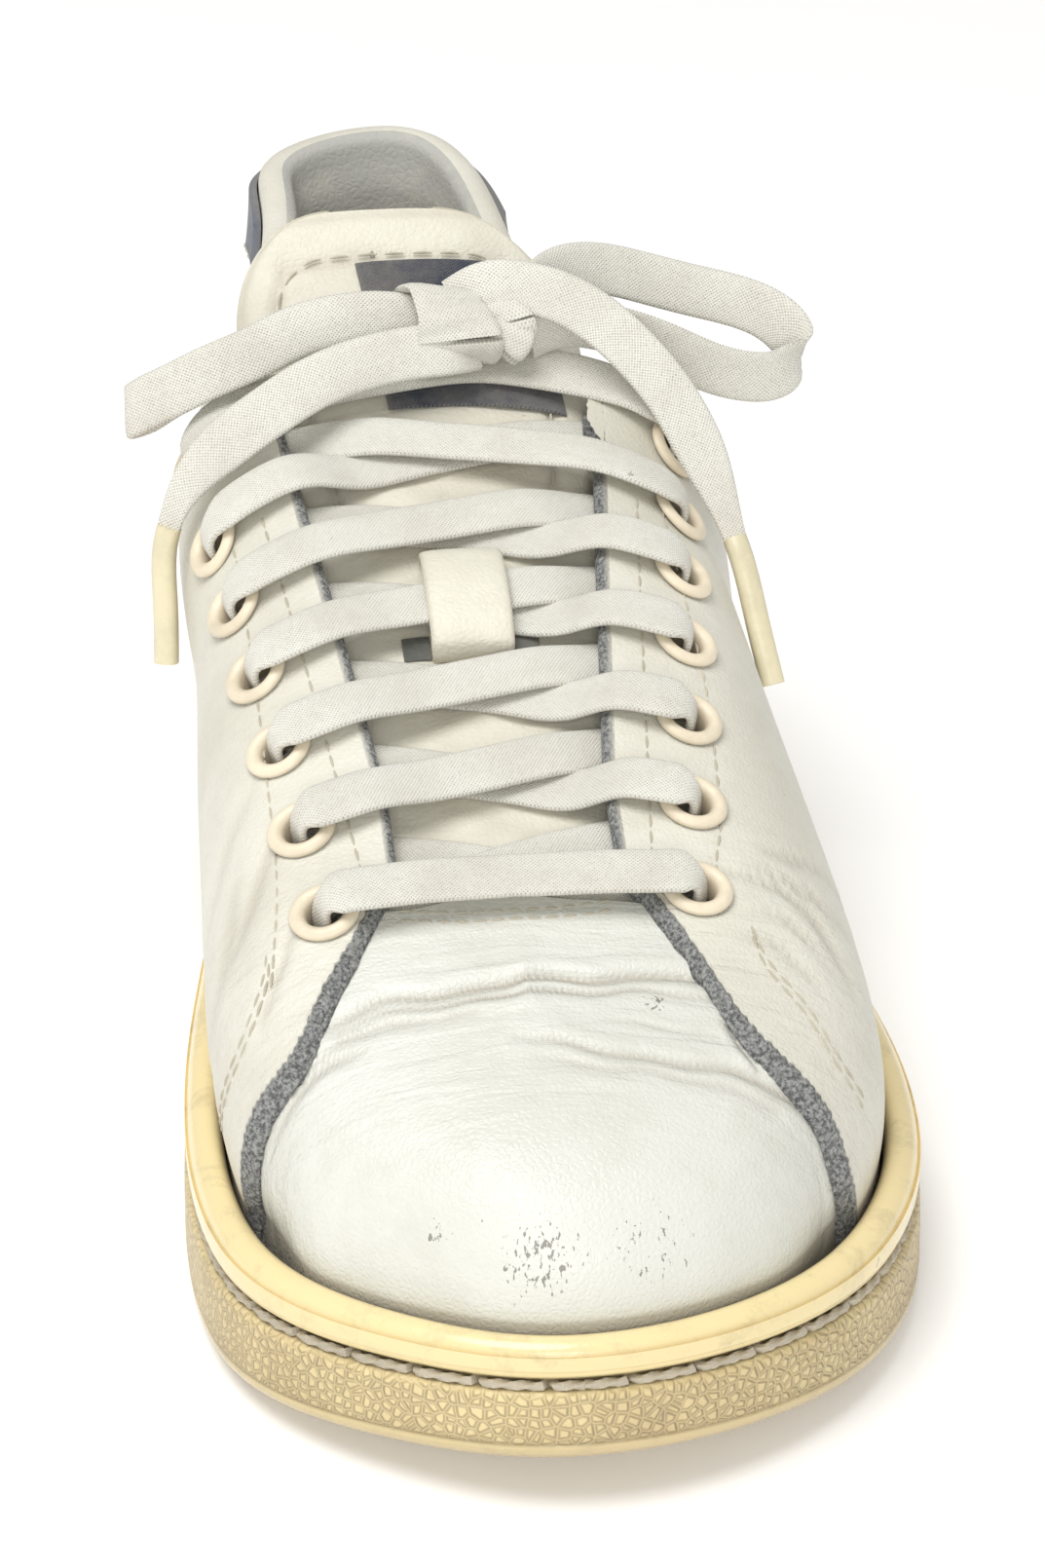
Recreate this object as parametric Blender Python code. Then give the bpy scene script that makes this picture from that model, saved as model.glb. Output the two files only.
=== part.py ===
"""A low leather tennis sneaker, the wearer's left one, standing empty on its sole.

The toe points along -Y, the heel along +Y, the outer (lateral) side of the foot is +X and the
inner (medial) side is -X. The origin lies on the floor under the middle of the heel.

Every curved piece follows one surface, the last. A place on it is (v, s): v runs round the shoe
from the back of the heel (0) to the tip of the toe (1 along the outer side, -1 along the inner
side), and s runs up the side from the rim of the sole (0) to the ridge of the instep or to the
edge of the collar (1).
"""
import math

import bmesh
import bpy
import numpy as np
from mathutils import Vector

# Driving sizes of the whole shoe
LENGTH = 0.298
BALL_WIDTH = 0.1085
HEEL_WIDTH = 0.076
INSTEP_HEIGHT = 0.0882
RIDGE_SLOPE = 0.33
HEEL_HEIGHT = 0.091
HEEL_CENTRE = 0.040
GAP = 0.0003
SHARP_ANGLE = 40

# Sole
RIM_TOE = 0.0190
RIM_BALL = 0.0245
RIM_HEEL = 0.0325
TOE_SPRING = 0.0085
ARCH_RISE = 0.0012
RIM_WALL = 0.0058
FLOOR_TOE = 0.0080
FLOOR_HEEL = 0.0150
BAND_SHARE = 0.60
GROOVE_DEPTH = 0.0022
TREAD_DEPTH = 0.0013
TREAD_WIDTH = 0.0034
TREAD_PITCH = 0.0125
TREAD_BORDER = 0.0095
TREAD_ZONES = ((0.0713, 0.28), (0.58, 0.84))
ARCH_SPAN = (0.30, 0.42, 0.50, 0.60)
SPRING_START = 0.745
FLOOR_SPAN = (0.15, 0.70)
SOLE_COLUMNS = 78

# Upper
QUARTER_OUT = 0.0028
QUARTER_IN = 0.0002
VAMP_OUT = 0.0006
VAMP_IN = 0.0014
COLLAR_PAD = 0.0045
THROAT_FRONT = 0.0168
THROAT_TOP = 0.0260
THROAT_SHIFT = -0.0028
THROAT_ENDS = (0.765, 0.430)
COLLAR_END = 0.40
FOOT_DEPTH = 0.0010
COVER_START = (0.875, 0.912)
COVER_FADE = 0.05
QUARTER_GRID = (53, 8)
VAMP_GRID = (11, 8)

# Eyelets
ROWS = 7
ROW_PITCH = 0.0166
ROW_FIRST = 0.768
ROW_INSET = 0.0094
EYELET_RADIUS = 0.0053
EYELET_BORE = 0.0027
EYELET_LIP = 0.0012
EYELET_SEAT = 0.0004
EYELET_SIDES = 10
BARREL_WALL = 0.0006

# Tongue, its strap and its label, insole, heel tab
TONGUE_WIDTH = 0.0590
TONGUE_FOOT = 0.0440
TONGUE_THICK = 0.0060
TONGUE_RISE = 0.0275
TONGUE_REACH = 0.0470
TONGUE_DEPTH = 0.0026
TONGUE_DRIFT = 0.0050
TONGUE_START = 0.812
TONGUE_BEND = 0.64
BEND_SHARE = 0.478
KEEPER_WIDTH = 0.0120
KEEPER_ENDS = (0.392, 0.523)
KEEPER_ARCH = 0.0050
ARCH_POWER = 0.30
KEEPER_THICK = 0.0012
LABEL_WIDTH = 0.0285
LABEL_ENDS = (0.750, 0.934)
LABEL_THICK = 0.0006
LABEL_SHIFT = 0.0075
INSOLE_THICK = 0.0040
INSOLE_COLUMNS = 84
TAB_THICK = 0.0014
TAB_TOP = 0.985
TAB_REACH = 0.0420

# Laces
LACE_WIDTH = 0.0083
LACE_THICK = 0.0014
CORD_RADIUS = 0.0016
KNOT_RADIUS = 0.0040
AGLET_RADIUS = 0.0019
PAD_SPAN = (0.34, 0.42)
PAD_RISE = (0.42, 0.72)
CROWN_SHARE = 0.4
CROWN_MOST = 0.0022
CORD_STEP = 0.0065
STRIP_STEPS = 10
LAST_CROSSING = 0.86
LACE_SECTION = ((-0.50, 0.0), (-0.43, 0.5), (0.43, 0.5), (0.50, 0.0), (0.43, -0.5), (-0.43, -0.5))

# Share of the length, then inner and outer half width as shares of the width there
HEEL_ROWS = (
    (0.017, -0.263, 0.290),
    (0.050, -0.401, 0.447),
    (0.100, -0.454, 0.507),
    (0.170, -0.474, 0.526),
)
BALL_ROWS = (
    (0.270, -0.331, 0.382),
    (0.370, -0.332, 0.400),
    (0.470, -0.362, 0.428),
    (0.570, -0.402, 0.470),
    (0.670, -0.446, 0.513),
    (0.730, -0.463, 0.527),
    (0.780, -0.468, 0.524),
    (0.830, -0.460, 0.503),
    (0.880, -0.430, 0.455),
    (0.925, -0.360, 0.380),
    (0.965, -0.243, 0.262),
)
TIP_SHIFT = -0.008

# Height of the rim over the ground line: share of the length, size it follows, share of that size
RIM_ROWS = (
    (0.00, "heel", 1.00),
    (0.10, "heel", 0.97),
    (0.20, "heel", 0.92),
    (0.40, "heel", 0.84),
    (0.60, "ball", 1.04),
    (0.74, "ball", 1.00),
    (0.86, "ball", 0.93),
    (0.94, "toe", 1.07),
    (1.00, "toe", 1.00),
)

# Sections of the last behind the top eyelet. Each row gives the share of the length at the rim,
# then the top edge (share of length, inner and outer x as shares of the ball width, share of the
# heel height), then how the side gets there: rise, inner and outer belly, inner and outer
# shoulder, and drop
COLLAR_ROWS = (
    (0.00, 0.027, 0.000, 0.000, 1.000, 0.36, 0.022, 0.022, 0.000, 0.000, 0.34),
    (0.06, 0.055, -0.170, 0.112, 0.975, 0.36, 0.022, 0.022, 0.000, 0.000, 0.34),
    (0.15, 0.112, -0.180, 0.150, 0.925, 0.36, 0.024, 0.024, 0.000, 0.000, 0.34),
    (0.25, 0.222, -0.235, 0.198, 0.850, 0.38, 0.040, 0.036, 0.010, 0.010, 0.34),
    (0.33, 0.312, -0.288, 0.272, 0.870, 0.42, 0.070, 0.060, 0.030, 0.040, 0.30),
    (0.40, 0.390, -0.325, 0.315, 0.960, 0.50, 0.095, 0.095, 0.040, 0.062, 0.22),
)

# Between the collar and the ridge the top edge swings in; heights follow the instep from here on
SWING_ROWS = (
    (0.44, 0.420, -0.250, 0.195, 1.018, 0.62, 0.140, 0.112, 0.160, 0.130, 0.02),
    (0.48, 0.448, -0.120, 0.050, 1.022, 0.72, 0.155, 0.095, 0.285, 0.215, 0.00),
)

# In front of the top eyelet the two sides meet on the ridge of the instep
RIDGE_ROWS = (
    (0.52, 0.478, 1.000, 0.80, 0.155, 0.080, 0.320, 0.260, 0.00),
    (0.59, 0.537, 0.935, 0.83, 0.147, 0.050, 0.262, 0.255, 0.00),
    (0.67, 0.608, 0.857, 0.80, 0.105, 0.025, 0.245, 0.255, 0.00),
    (0.75, 0.675, 0.772, 0.77, 0.080, 0.025, 0.235, 0.240, 0.00),
    (0.82, 0.728, 0.702, 0.76, 0.070, 0.040, 0.225, 0.230, 0.00),
    (0.87, 0.765, 0.658, 0.76, 0.055, 0.035, 0.215, 0.220, 0.00),
    (0.91, 0.794, 0.636, 0.75, 0.030, 0.025, 0.210, 0.215, 0.00),
    (0.955, 0.821, 0.622, 0.73, 0.010, 0.010, 0.210, 0.215, 0.00),
    (1.00, 0.832, 0.618, 0.72, 0.000, 0.000, 0.210, 0.210, 0.00),
)

# Front edge of the quarters: share of the way up, then share of the length inside and outside
QUARTER_FRONT = (
    (0.00, 0.852, 0.900),
    (0.15, 0.863, 0.909),
    (0.35, 0.874, 0.908),
    (0.57, 0.882, 0.908),
    (0.70, 0.873, 0.899),
    (0.85, 0.860, 0.869),
    (1.00, 0.834, 0.834),
)

# Back edge of the vamp, hidden under the quarters but for the throat; the same three values
VAMP_BACK = (
    (0.00, 0.822, 0.872),
    (0.25, 0.848, 0.878),
    (0.50, 0.850, 0.872),
    (0.68, 0.836, 0.842),
    (0.78, 0.849, 0.847),
    (0.88, 0.856, 0.857),
    (1.00, 0.864, 0.864),
)

# Lower edge of the heel tab: share of its reach, share of the way up
TAB_EDGE = ((0.0, 0.48), (0.25, 0.52), (0.5, 0.68), (0.75, 0.78), (1.0, 0.84))

# Centre line of the tongue above the throat: shares of its reach and of its rise
TONGUE_LINE = ((0.0, 0.0), (0.25, 0.17), (0.5, 0.38), (0.75, 0.66), (1.0, 1.0))

# Each lace strip from one eyelet to the far side: rows forward, share of the eyelet's distance from
# the middle, height over the last
OVER_ROUTE = (
    (0.00, -1.00, 0.0058),
    (0.06, -0.84, 0.0058),
    (0.16, -0.66, 0.0050),
    (0.30, -0.40, 0.0026),
    (0.42, -0.14, 0.0008),
    (0.54, 0.12, -0.0006),
    (0.64, 0.34, -0.0015),
    (0.76, 0.60, -0.0015),
    (0.84, 0.80, -0.0015),
)
UNDER_ROUTE = (
    (0.00, -1.00, 0.0058),
    (0.06, -0.84, 0.0058),
    (0.16, -0.66, 0.0053),
    (0.30, -0.40, 0.0014),
    (0.42, -0.14, -0.0013),
    (0.54, 0.12, -0.0015),
    (0.66, 0.38, -0.0015),
    (0.78, 0.64, -0.0015),
    (0.84, 0.80, -0.0015),
)
BAR_ROUTE = (
    (0.00, -1.00, 0.0058),
    (0.04, -0.80, 0.0058),
    (0.07, -0.55, 0.0053),
    (0.08, 0.00, 0.0048),
    (0.07, 0.55, 0.0053),
    (0.04, 0.80, 0.0058),
    (0.00, 1.00, 0.0058),
)


# The lace strip between the top eyelets, over the tongue and under the knot: share of the way
# across, then metres toward the heel and up from the line between the two ends
RISER_ROUTE = (
    (0.000, 0.0000, 0.0000),
    (0.064, 0.0014, 0.0062),
    (0.144, 0.0031, 0.0082),
    (0.214, 0.0044, 0.0087),
    (0.327, 0.0063, 0.0096),
    (0.453, 0.0081, 0.0104),
    (0.591, 0.0093, 0.0107),
    (0.717, 0.0082, 0.0097),
    (0.830, 0.0061, 0.0082),
    (0.900, 0.0041, 0.0066),
    (0.956, 0.0022, 0.0039),
    (1.000, 0.0000, 0.0000),
)
RISER_LEAN = -0.52
RISER_LIFT = 0.0003

# Routes of the bow, in metres from the middle between the top eyelets: x, toward the toe, up
KNOT_ROUTE = ((0.0007, -0.0089, 0.0163), (0.0072, -0.0096, 0.0169), (0.0137, -0.0089, 0.0163))
LEFT_LOOP_ROUTE = (
    (-0.0004, -0.0077, 0.0180),
    (-0.0058, -0.0080, 0.0192),
    (-0.0128, -0.0074, 0.0196),
    (-0.0208, -0.0062, 0.0184),
    (-0.0278, -0.0046, 0.0158),
    (-0.0348, -0.0039, 0.0132),
    (-0.0408, -0.0041, 0.0103),
    (-0.0454, -0.0048, 0.0079),
    (-0.0471, -0.0062, 0.0062),
    (-0.0454, -0.0080, 0.0058),
    (-0.0408, -0.0080, 0.0084),
    (-0.0348, -0.0077, 0.0115),
    (-0.0278, -0.0084, 0.0141),
    (-0.0208, -0.0100, 0.0166),
    (-0.0128, -0.0111, 0.0178),
    (-0.0058, -0.0115, 0.0174),
    (-0.0004, -0.0113, 0.0166),
)
RIGHT_LOOP_ROUTE = (
    (0.0158, -0.0112, 0.0187),
    (0.0182, -0.0152, 0.0203),
    (0.0222, -0.0196, 0.0209),
    (0.0282, -0.0234, 0.0197),
    (0.0362, -0.0254, 0.0169),
    (0.0452, -0.0256, 0.0140),
    (0.0532, -0.0244, 0.0117),
    (0.0585, -0.0216, 0.0089),
    (0.0600, -0.0184, 0.0059),
    (0.0575, -0.0158, 0.0039),
    (0.0517, -0.0142, 0.0039),
    (0.0447, -0.0134, 0.0063),
    (0.0372, -0.0126, 0.0105),
    (0.0292, -0.0116, 0.0143),
    (0.0212, -0.0096, 0.0160),
    (0.0158, -0.0076, 0.0147),
)
LEFT_END_ROUTE = (
    (0.0037, -0.0034, 0.0157),
    (-0.0028, -0.0018, 0.0159),
    (-0.0098, -0.0005, 0.0153),
    (-0.0178, 0.0020, 0.0137),
    (-0.0258, 0.0055, 0.0105),
    (-0.0328, 0.0083, 0.0067),
    (-0.0380, 0.0092, 0.0019),
    (-0.0412, 0.0092, -0.0037),
    (-0.0426, 0.0092, -0.0082),
)
LEFT_AGLET_ROUTE = ((-0.0427, 0.0093, -0.0087), (-0.0432, 0.0108, -0.0187), (-0.0434, 0.0126, -0.0281))
RIGHT_END_ROUTE = (
    (0.0092, -0.0094, 0.0230),
    (0.0152, -0.0090, 0.0229),
    (0.0212, -0.0074, 0.0214),
    (0.0272, -0.0049, 0.0180),
    (0.0322, -0.0019, 0.0135),
    (0.0366, 0.0015, 0.0084),
    (0.0404, 0.0057, 0.0020),
    (0.0434, 0.0117, -0.0053),
    (0.0454, 0.0177, -0.0115),
)
RIGHT_AGLET_ROUTE = ((0.0456, 0.0182, -0.0120), (0.0476, 0.0224, -0.0209), (0.0496, 0.0272, -0.0303))


def smooth_curve(knots, values, period=0.0):
    """A function through the values at the knots with no kink, closed on itself over a period."""
    knots = np.asarray(knots, float)
    values = np.asarray(values, float).reshape(len(knots), -1)
    if period:
        knots = np.append(knots, knots[0] + period)
        values = np.vstack([values, values[:1]])
    count = len(knots)
    step = np.diff(knots)
    slope = np.diff(values, axis=0) / step[:, None]
    system = np.zeros((count, count))
    right = np.zeros(values.shape)
    for i in range(1, count - 1):
        system[i, i - 1 : i + 2] = step[i], 2 * (step[i - 1] + step[i]), step[i - 1]
        right[i] = 3 * (step[i] * slope[i - 1] + step[i - 1] * slope[i])
    if period:
        system[0, [0, 1, -2]] = 2 * (step[-1] + step[0]), step[-1], step[0]
        right[0] = 3 * (step[0] * slope[-1] + step[-1] * slope[0])
        system[-1, [0, -1]] = 1, -1
    else:
        system[0, [0, 1]] = 2, 1
        right[0] = 3 * slope[0]
        system[-1, [-1, -2]] = 2, 1
        right[-1] = 3 * slope[-1]
    tangent = np.linalg.solve(system, right)

    def at(place):
        place = np.asarray(place, float)
        if period:
            place = knots[0] + (place - knots[0]) % period
        place = np.clip(place, knots[0], knots[-1])
        i = np.clip(np.searchsorted(knots, place, side="right") - 1, 0, count - 2)
        t = ((place - knots[i]) / step[i])[..., None]
        width = step[i][..., None]
        low = values[i] * (1 + 2 * t) * (1 - t) ** 2 + width * tangent[i] * t * (1 - t) ** 2
        high = values[i + 1] * t**2 * (3 - 2 * t) + width * tangent[i + 1] * t**2 * (t - 1)
        return low + high

    return at


def table_of(rows):
    """The first value of each row, and the others."""
    return [row[0] for row in rows], [row[1:] for row in rows]


def place_of(share):
    """The v of a share of the length, on the outer side."""
    return np.arccos(1 - 2 * np.clip(share, 0, 1)) / math.pi


def share_of(v):
    """The share of the length at v."""
    return (1 - np.cos(math.pi * np.asarray(v, float))) / 2


def two_sided(rows, inner, outer):
    """Rows for both sides of the shoe in order of v, from (share of the length, values)."""
    found = {}
    for share, row in rows:
        v = float(place_of(share))
        found[round(-v, 9)] = inner(row)
        found[round(v, 9)] = outer(row)
    found.pop(-1.0, None)
    knots = sorted(found)
    return knots, [found[k] for k in knots]


def outline_rows():
    rows = [(0.0, (0.0, 0.0)), (1.0, (TIP_SHIFT * BALL_WIDTH,) * 2)]
    rows += [(share, (a * HEEL_WIDTH, b * HEEL_WIDTH)) for share, a, b in HEEL_ROWS]
    rows += [(share, (a * BALL_WIDTH, b * BALL_WIDTH)) for share, a, b in BALL_ROWS]
    return rows


def section_rows():
    """Top edge and side shape of the last, all in metres, for both sides."""
    rows = []
    for share, far, inner, outer, high, *shape in COLLAR_ROWS:
        top = (inner * BALL_WIDTH, outer * BALL_WIDTH, far * LENGTH, high * HEEL_HEIGHT)
        rows.append((share, (*top, *shape)))
    for share, far, inner, outer, high, *shape in SWING_ROWS:
        top = (inner * BALL_WIDTH, outer * BALL_WIDTH, far * LENGTH, high * INSTEP_HEIGHT)
        rows.append((share, (*top, *shape)))
    for share, far, high, *shape in RIDGE_ROWS:
        top = (THROAT_SHIFT, THROAT_SHIFT, far * LENGTH, high * INSTEP_HEIGHT)
        rows.append((share, (*top, *shape)))
    return rows


def side_of(index):
    """Picks one side's values from a section row: x of the top edge, its belly and shoulder."""

    def pick(row):
        x_inner, x_outer, far, high, rise, *rest = row
        belly = rest[index] * BALL_WIDTH
        shoulder = rest[2 + index] * BALL_WIDTH
        return ((x_inner, x_outer)[index], far, high, rise, belly, shoulder, rest[4])

    return pick


RISER_AT = np.array([row[0] for row in RISER_ROUTE])
OUTLINE = smooth_curve(*two_sided(outline_rows(), lambda r: r[0], lambda r: r[1]), period=2.0)
SECTION = smooth_curve(*two_sided(section_rows(), side_of(0), side_of(1)), period=2.0)
RIM_SIZES = {"heel": RIM_HEEL, "ball": RIM_BALL, "toe": RIM_TOE}
TONGUE_PATH = smooth_curve(*table_of(TONGUE_LINE))
RIM = smooth_curve([r[0] for r in RIM_ROWS], [RIM_SIZES[r[1]] * r[2] for r in RIM_ROWS])


def ease(value, low, high):
    t = np.clip((np.asarray(value, float) - low) / (high - low), 0, 1)
    return t * t * (3 - 2 * t)


def ground(share):
    """Height of the tread: flat under heel and ball, with arch and toe spring."""
    share = np.asarray(share, float)
    up, over, down, end = ARCH_SPAN
    arch = ARCH_RISE * ease(share, up, over) * (1 - ease(share, down, end))
    toe = TOE_SPRING * np.clip((share - SPRING_START) / (1 - SPRING_START), 0, 1) ** 2
    return arch + toe


def rim_height(share):
    return ground(share) + RIM(share)[..., 0]


def floor_height(share):
    """Height of the floor of the cup."""
    depth = FLOOR_TOE + (FLOOR_HEEL - FLOOR_TOE) * (1 - ease(share, *FLOOR_SPAN))
    return np.maximum(ground(share), 0.35 * TOE_SPRING * ease(share, SPRING_START, 1.0)) + depth


def outline(v, out=0.0):
    """Points of the sole's outline in plan, moved outward by out; x, and length from the heel."""
    v = np.asarray(v, float)
    here = np.stack([OUTLINE(v)[..., 0], share_of(v) * LENGTH], axis=-1)
    small = 1e-3
    ahead = np.stack([OUTLINE(v + small)[..., 0], share_of(v + small) * LENGTH], axis=-1)
    behind = np.stack([OUTLINE(v - small)[..., 0], share_of(v - small) * LENGTH], axis=-1)
    along = ahead - behind
    along /= np.linalg.norm(along, axis=-1, keepdims=True)
    normal = np.stack([along[..., 1], -along[..., 0]], axis=-1)
    return here + normal * np.asarray(out, float)[..., None], normal


def feather_inset(v):
    """How far the last lies inside the outline at the rim: the quarters need more room."""
    share = share_of(v)
    outer = (np.asarray(v, float) + 1) % 2 > 1
    start = np.where(outer, COVER_START[1], COVER_START[0])
    fade = ease((share - start) / COVER_FADE, 0.0, 1.0)
    cover = VAMP_OUT + (QUARTER_OUT - VAMP_OUT) * (1 - fade)
    return RIM_WALL + GAP + cover


def guides(v):
    """The four control points of the side of the last at v, as x, length from the heel, height."""
    v = np.asarray(v, float)
    x, far, high, rise, belly, shoulder, drop = np.moveaxis(SECTION(v), -1, 0)
    share = share_of(v)
    foot, normal = outline(v, -feather_inset(v))
    low = rim_height(share) - FOOT_DEPTH
    p0 = np.concatenate([foot, low[..., None]], axis=-1)
    p3 = np.stack([x, far, high], axis=-1)
    p1 = p0.copy()
    p1[..., :2] += normal * belly[..., None]
    p1[..., 2] += rise * (high - low)
    p2 = p3.copy()
    p2[..., :2] += normal * shoulder[..., None]
    p2[..., 2] -= drop * (high - low) + RIDGE_SLOPE * (p2 - p3)[..., 1]
    return p0, p1, p2, p3


def along_side(points, s):
    """Places up the side, from its four control points."""
    p0, p1, p2, p3 = points
    t = np.asarray(s, float)[..., None]
    return p0 * (1 - t) ** 3 + 3 * p1 * t * (1 - t) ** 2 + 3 * p2 * t**2 * (1 - t) + p3 * t**3


def last(v, s):
    """Points of the last in metres, world axes, at arrays v and s."""
    v, s = np.broadcast_arrays(np.asarray(v, float), np.asarray(s, float))
    return world(along_side(guides(v), s))


def world(point):
    """World axes from x, length from the heel, height."""
    moved = np.array(point, float)
    moved[..., 1] = HEEL_CENTRE - moved[..., 1]
    return moved


def last_normal(v, s):
    """Outward normals of the last; the ridge's own line takes the normal just below it."""
    v, s = np.broadcast_arrays(np.asarray(v, float), np.asarray(s, float))
    s = np.clip(s, 0.0, 0.985)
    small = 2e-3
    along = last(v + small, s) - last(v - small, s)
    up = last(v, s + small) - last(v, s - small)
    normal = np.cross(along, up)
    normal /= np.linalg.norm(normal, axis=-1, keepdims=True)
    return -normal


def skin(v, s, out):
    """Points at a distance out from the last."""
    return last(v, s) + last_normal(v, s) * np.asarray(out, float)[..., None]


def throat_half(share):
    """Half the width of the throat at a share of the length."""
    front, back = THROAT_ENDS
    t = np.clip((front - share) / (front - back), 0, 1)
    return THROAT_FRONT + (THROAT_TOP - THROAT_FRONT) * t


def up_to(v, away):
    """The s above the widest place at which the side is a distance from the middle line."""
    v, away = np.broadcast_arrays(np.asarray(v, float), np.asarray(away, float))
    points = guides(v)

    def reach(s):
        return np.abs(along_side(points, s)[..., 0] - THROAT_SHIFT)

    steps = np.linspace(0, 1, 21)
    low = steps[np.argmax([reach(np.full(v.shape, s)) for s in steps], axis=0)]
    high = np.ones(v.shape)
    for _ in range(16):
        middle = (low + high) / 2
        outside = reach(middle) > away
        low = np.where(outside, middle, low)
        high = np.where(outside, high, middle)
    return (low + high) / 2


def place_at(share, away):
    """The (v, s) of a true share of the length and a signed distance from the middle line."""
    share, away = np.broadcast_arrays(np.asarray(share, float), np.asarray(away, float))
    side = np.where(away >= 0, 1.0, -1.0)
    station = share.copy()
    for _ in range(7):
        v = side * place_of(station)
        s = up_to(v, np.abs(away))
        found = (HEEL_CENTRE - last(v, s)[..., 1]) / LENGTH
        station = np.clip(station + share - found, 0.0, 1.0)
    v = side * place_of(station)
    return v, up_to(v, np.abs(away))


def top_share(v):
    """The s of the quarters' top edge: the collar's edge, or the edge of the throat."""
    share = share_of(v)
    edge = up_to(v, throat_half(share))
    return np.where(share < COLLAR_END, 1.0, np.minimum(edge, 1.0))


def material(name, colour, roughness, metallic=0.0):
    made = bpy.data.materials.new(name)
    made.use_nodes = True
    shader = made.node_tree.nodes["Principled BSDF"]
    shader.inputs["Base Color"].default_value = (*colour, 1)
    shader.inputs["Roughness"].default_value = roughness
    shader.inputs["Metallic"].default_value = metallic
    return made


def add_mesh(name, verts, faces, finish):
    """A smooth closed mesh object from points and faces, with its normals turned outward."""
    mesh = bpy.data.meshes.new(name)
    mesh.from_pydata([tuple(map(float, p)) for p in verts], [], faces)
    bm = bmesh.new()
    bm.from_mesh(mesh)
    bmesh.ops.recalc_face_normals(bm, faces=bm.faces)
    bm.to_mesh(mesh)
    bm.free()
    mesh.shade_smooth()
    mesh.set_sharp_from_angle(angle=math.radians(SHARP_ANGLE))
    mesh.materials.append(finish)
    made = bpy.data.objects.new(name, mesh)
    bpy.context.collection.objects.link(made)
    return made


def cut(target, cutter, operation="DIFFERENCE"):
    """Applies a Boolean of one object on another and removes the cutter."""
    modifier = target.modifiers.new(operation.lower(), "BOOLEAN")
    modifier.operation = operation
    modifier.solver = "EXACT"
    modifier.object = cutter
    bpy.context.view_layer.update()
    depsgraph = bpy.context.evaluated_depsgraph_get()
    result = bpy.data.meshes.new_from_object(target.evaluated_get(depsgraph))
    target.modifiers.clear()
    target.data = result
    bpy.data.objects.remove(cutter, do_unlink=True)


def ladder(low, high):
    """Faces that close a loop of 2n points straight across, between points k and -k."""
    count = high - low
    half = count // 2
    faces = [(low, low + 1, low + count - 1)]
    for k in range(1, half - 1):
        faces.append((low + k, low + k + 1, low + count - k - 1, low + count - k))
    faces.append((low + half - 1, low + half, low + half + 1))
    return faces


def bridge(first, second, count):
    """Quads between two closed loops of count points that start at the given numbers."""
    return [
        (first + k, first + (k + 1) % count, second + (k + 1) % count, second + k)
        for k in range(count)
    ]


def sole_wall():
    """The side of the sole as (outward from the outline, height share, height in metres)."""
    band = BAND_SHARE
    return (
        (-0.0030, 0.0, 0.0),
        (-0.0008, 0.0, 0.0009),
        (0.0000, 0.5 * band, 0.0),
        (-0.0002, band, -0.0012),
        (-GROOVE_DEPTH, band, 0.0),
        (-GROOVE_DEPTH, band, 0.0012),
        (-0.0011, band, 0.0018),
        (-0.0004, 0.35 * band + 0.65, 0.0),
        (-0.0010, 1.0, -0.0020),
        (-0.0028, 1.0, -0.0003),
        (-RIM_WALL + 0.0008, 1.0, -0.0003),
        (-RIM_WALL, 1.0, -0.0020),
    )


def make_outsole(finish):
    """A moulded cup: tread, side wall with pebbled band, stitch groove, rolled rim, cup floor."""
    count = SOLE_COLUMNS
    v = np.concatenate([np.linspace(0, 1, count // 2 + 1), np.linspace(-1, 0, count // 2 + 1)[1:-1]])
    share = share_of(v)
    verts = []
    loops = []
    for out, part, extra in sole_wall():
        plan, _ = outline(v, out + 0 * v)
        here = np.clip(plan[:, 1] / LENGTH, 0, 1)
        height = ground(here) + part * RIM(here)[:, 0] + extra
        loops.append(np.column_stack([plan, height]))
    plan, _ = outline(v, -RIM_WALL + 0 * v)
    here = np.clip(plan[:, 1] / LENGTH, 0, 1)
    loops.append(np.column_stack([plan, floor_height(here)]))
    for loop in loops:
        verts.extend(world(loop))
    faces = ladder(0, count)
    for k in range(len(loops) - 1):
        faces += bridge(k * count, (k + 1) * count, count)
    faces += ladder((len(loops) - 1) * count, len(loops) * count)
    sole = add_mesh("outsole", verts, faces, finish)
    for low, high in TREAD_ZONES:
        for k in range(int((high - low) * LENGTH / TREAD_PITCH) + 1):
            cut(sole, tread_cutter(low + k * TREAD_PITCH / LENGTH, finish))
    sole.data.shade_smooth()
    sole.data.set_sharp_from_angle(angle=math.radians(SHARP_ANGLE))
    return sole


def tread_cutter(share, finish):
    """A bar across the tread that leaves a border along both edges."""
    v = float(place_of(share))
    left = float(OUTLINE(-v)[0]) + TREAD_BORDER
    right = float(OUTLINE(v)[0]) - TREAD_BORDER
    edge = share * LENGTH
    corners = []
    for x in (left, right):
        for far in (edge - TREAD_WIDTH / 2, edge + TREAD_WIDTH / 2):
            base = float(ground(far / LENGTH))
            corners.append((x, far, base - 0.004))
            corners.append((x, far, base + TREAD_DEPTH))
    faces = [(0, 1, 3, 2), (4, 6, 7, 5), (0, 4, 5, 1), (2, 3, 7, 6), (0, 2, 6, 4), (1, 5, 7, 3)]
    return add_mesh("tread_bar", world(np.array(corners)), faces, finish)


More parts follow.
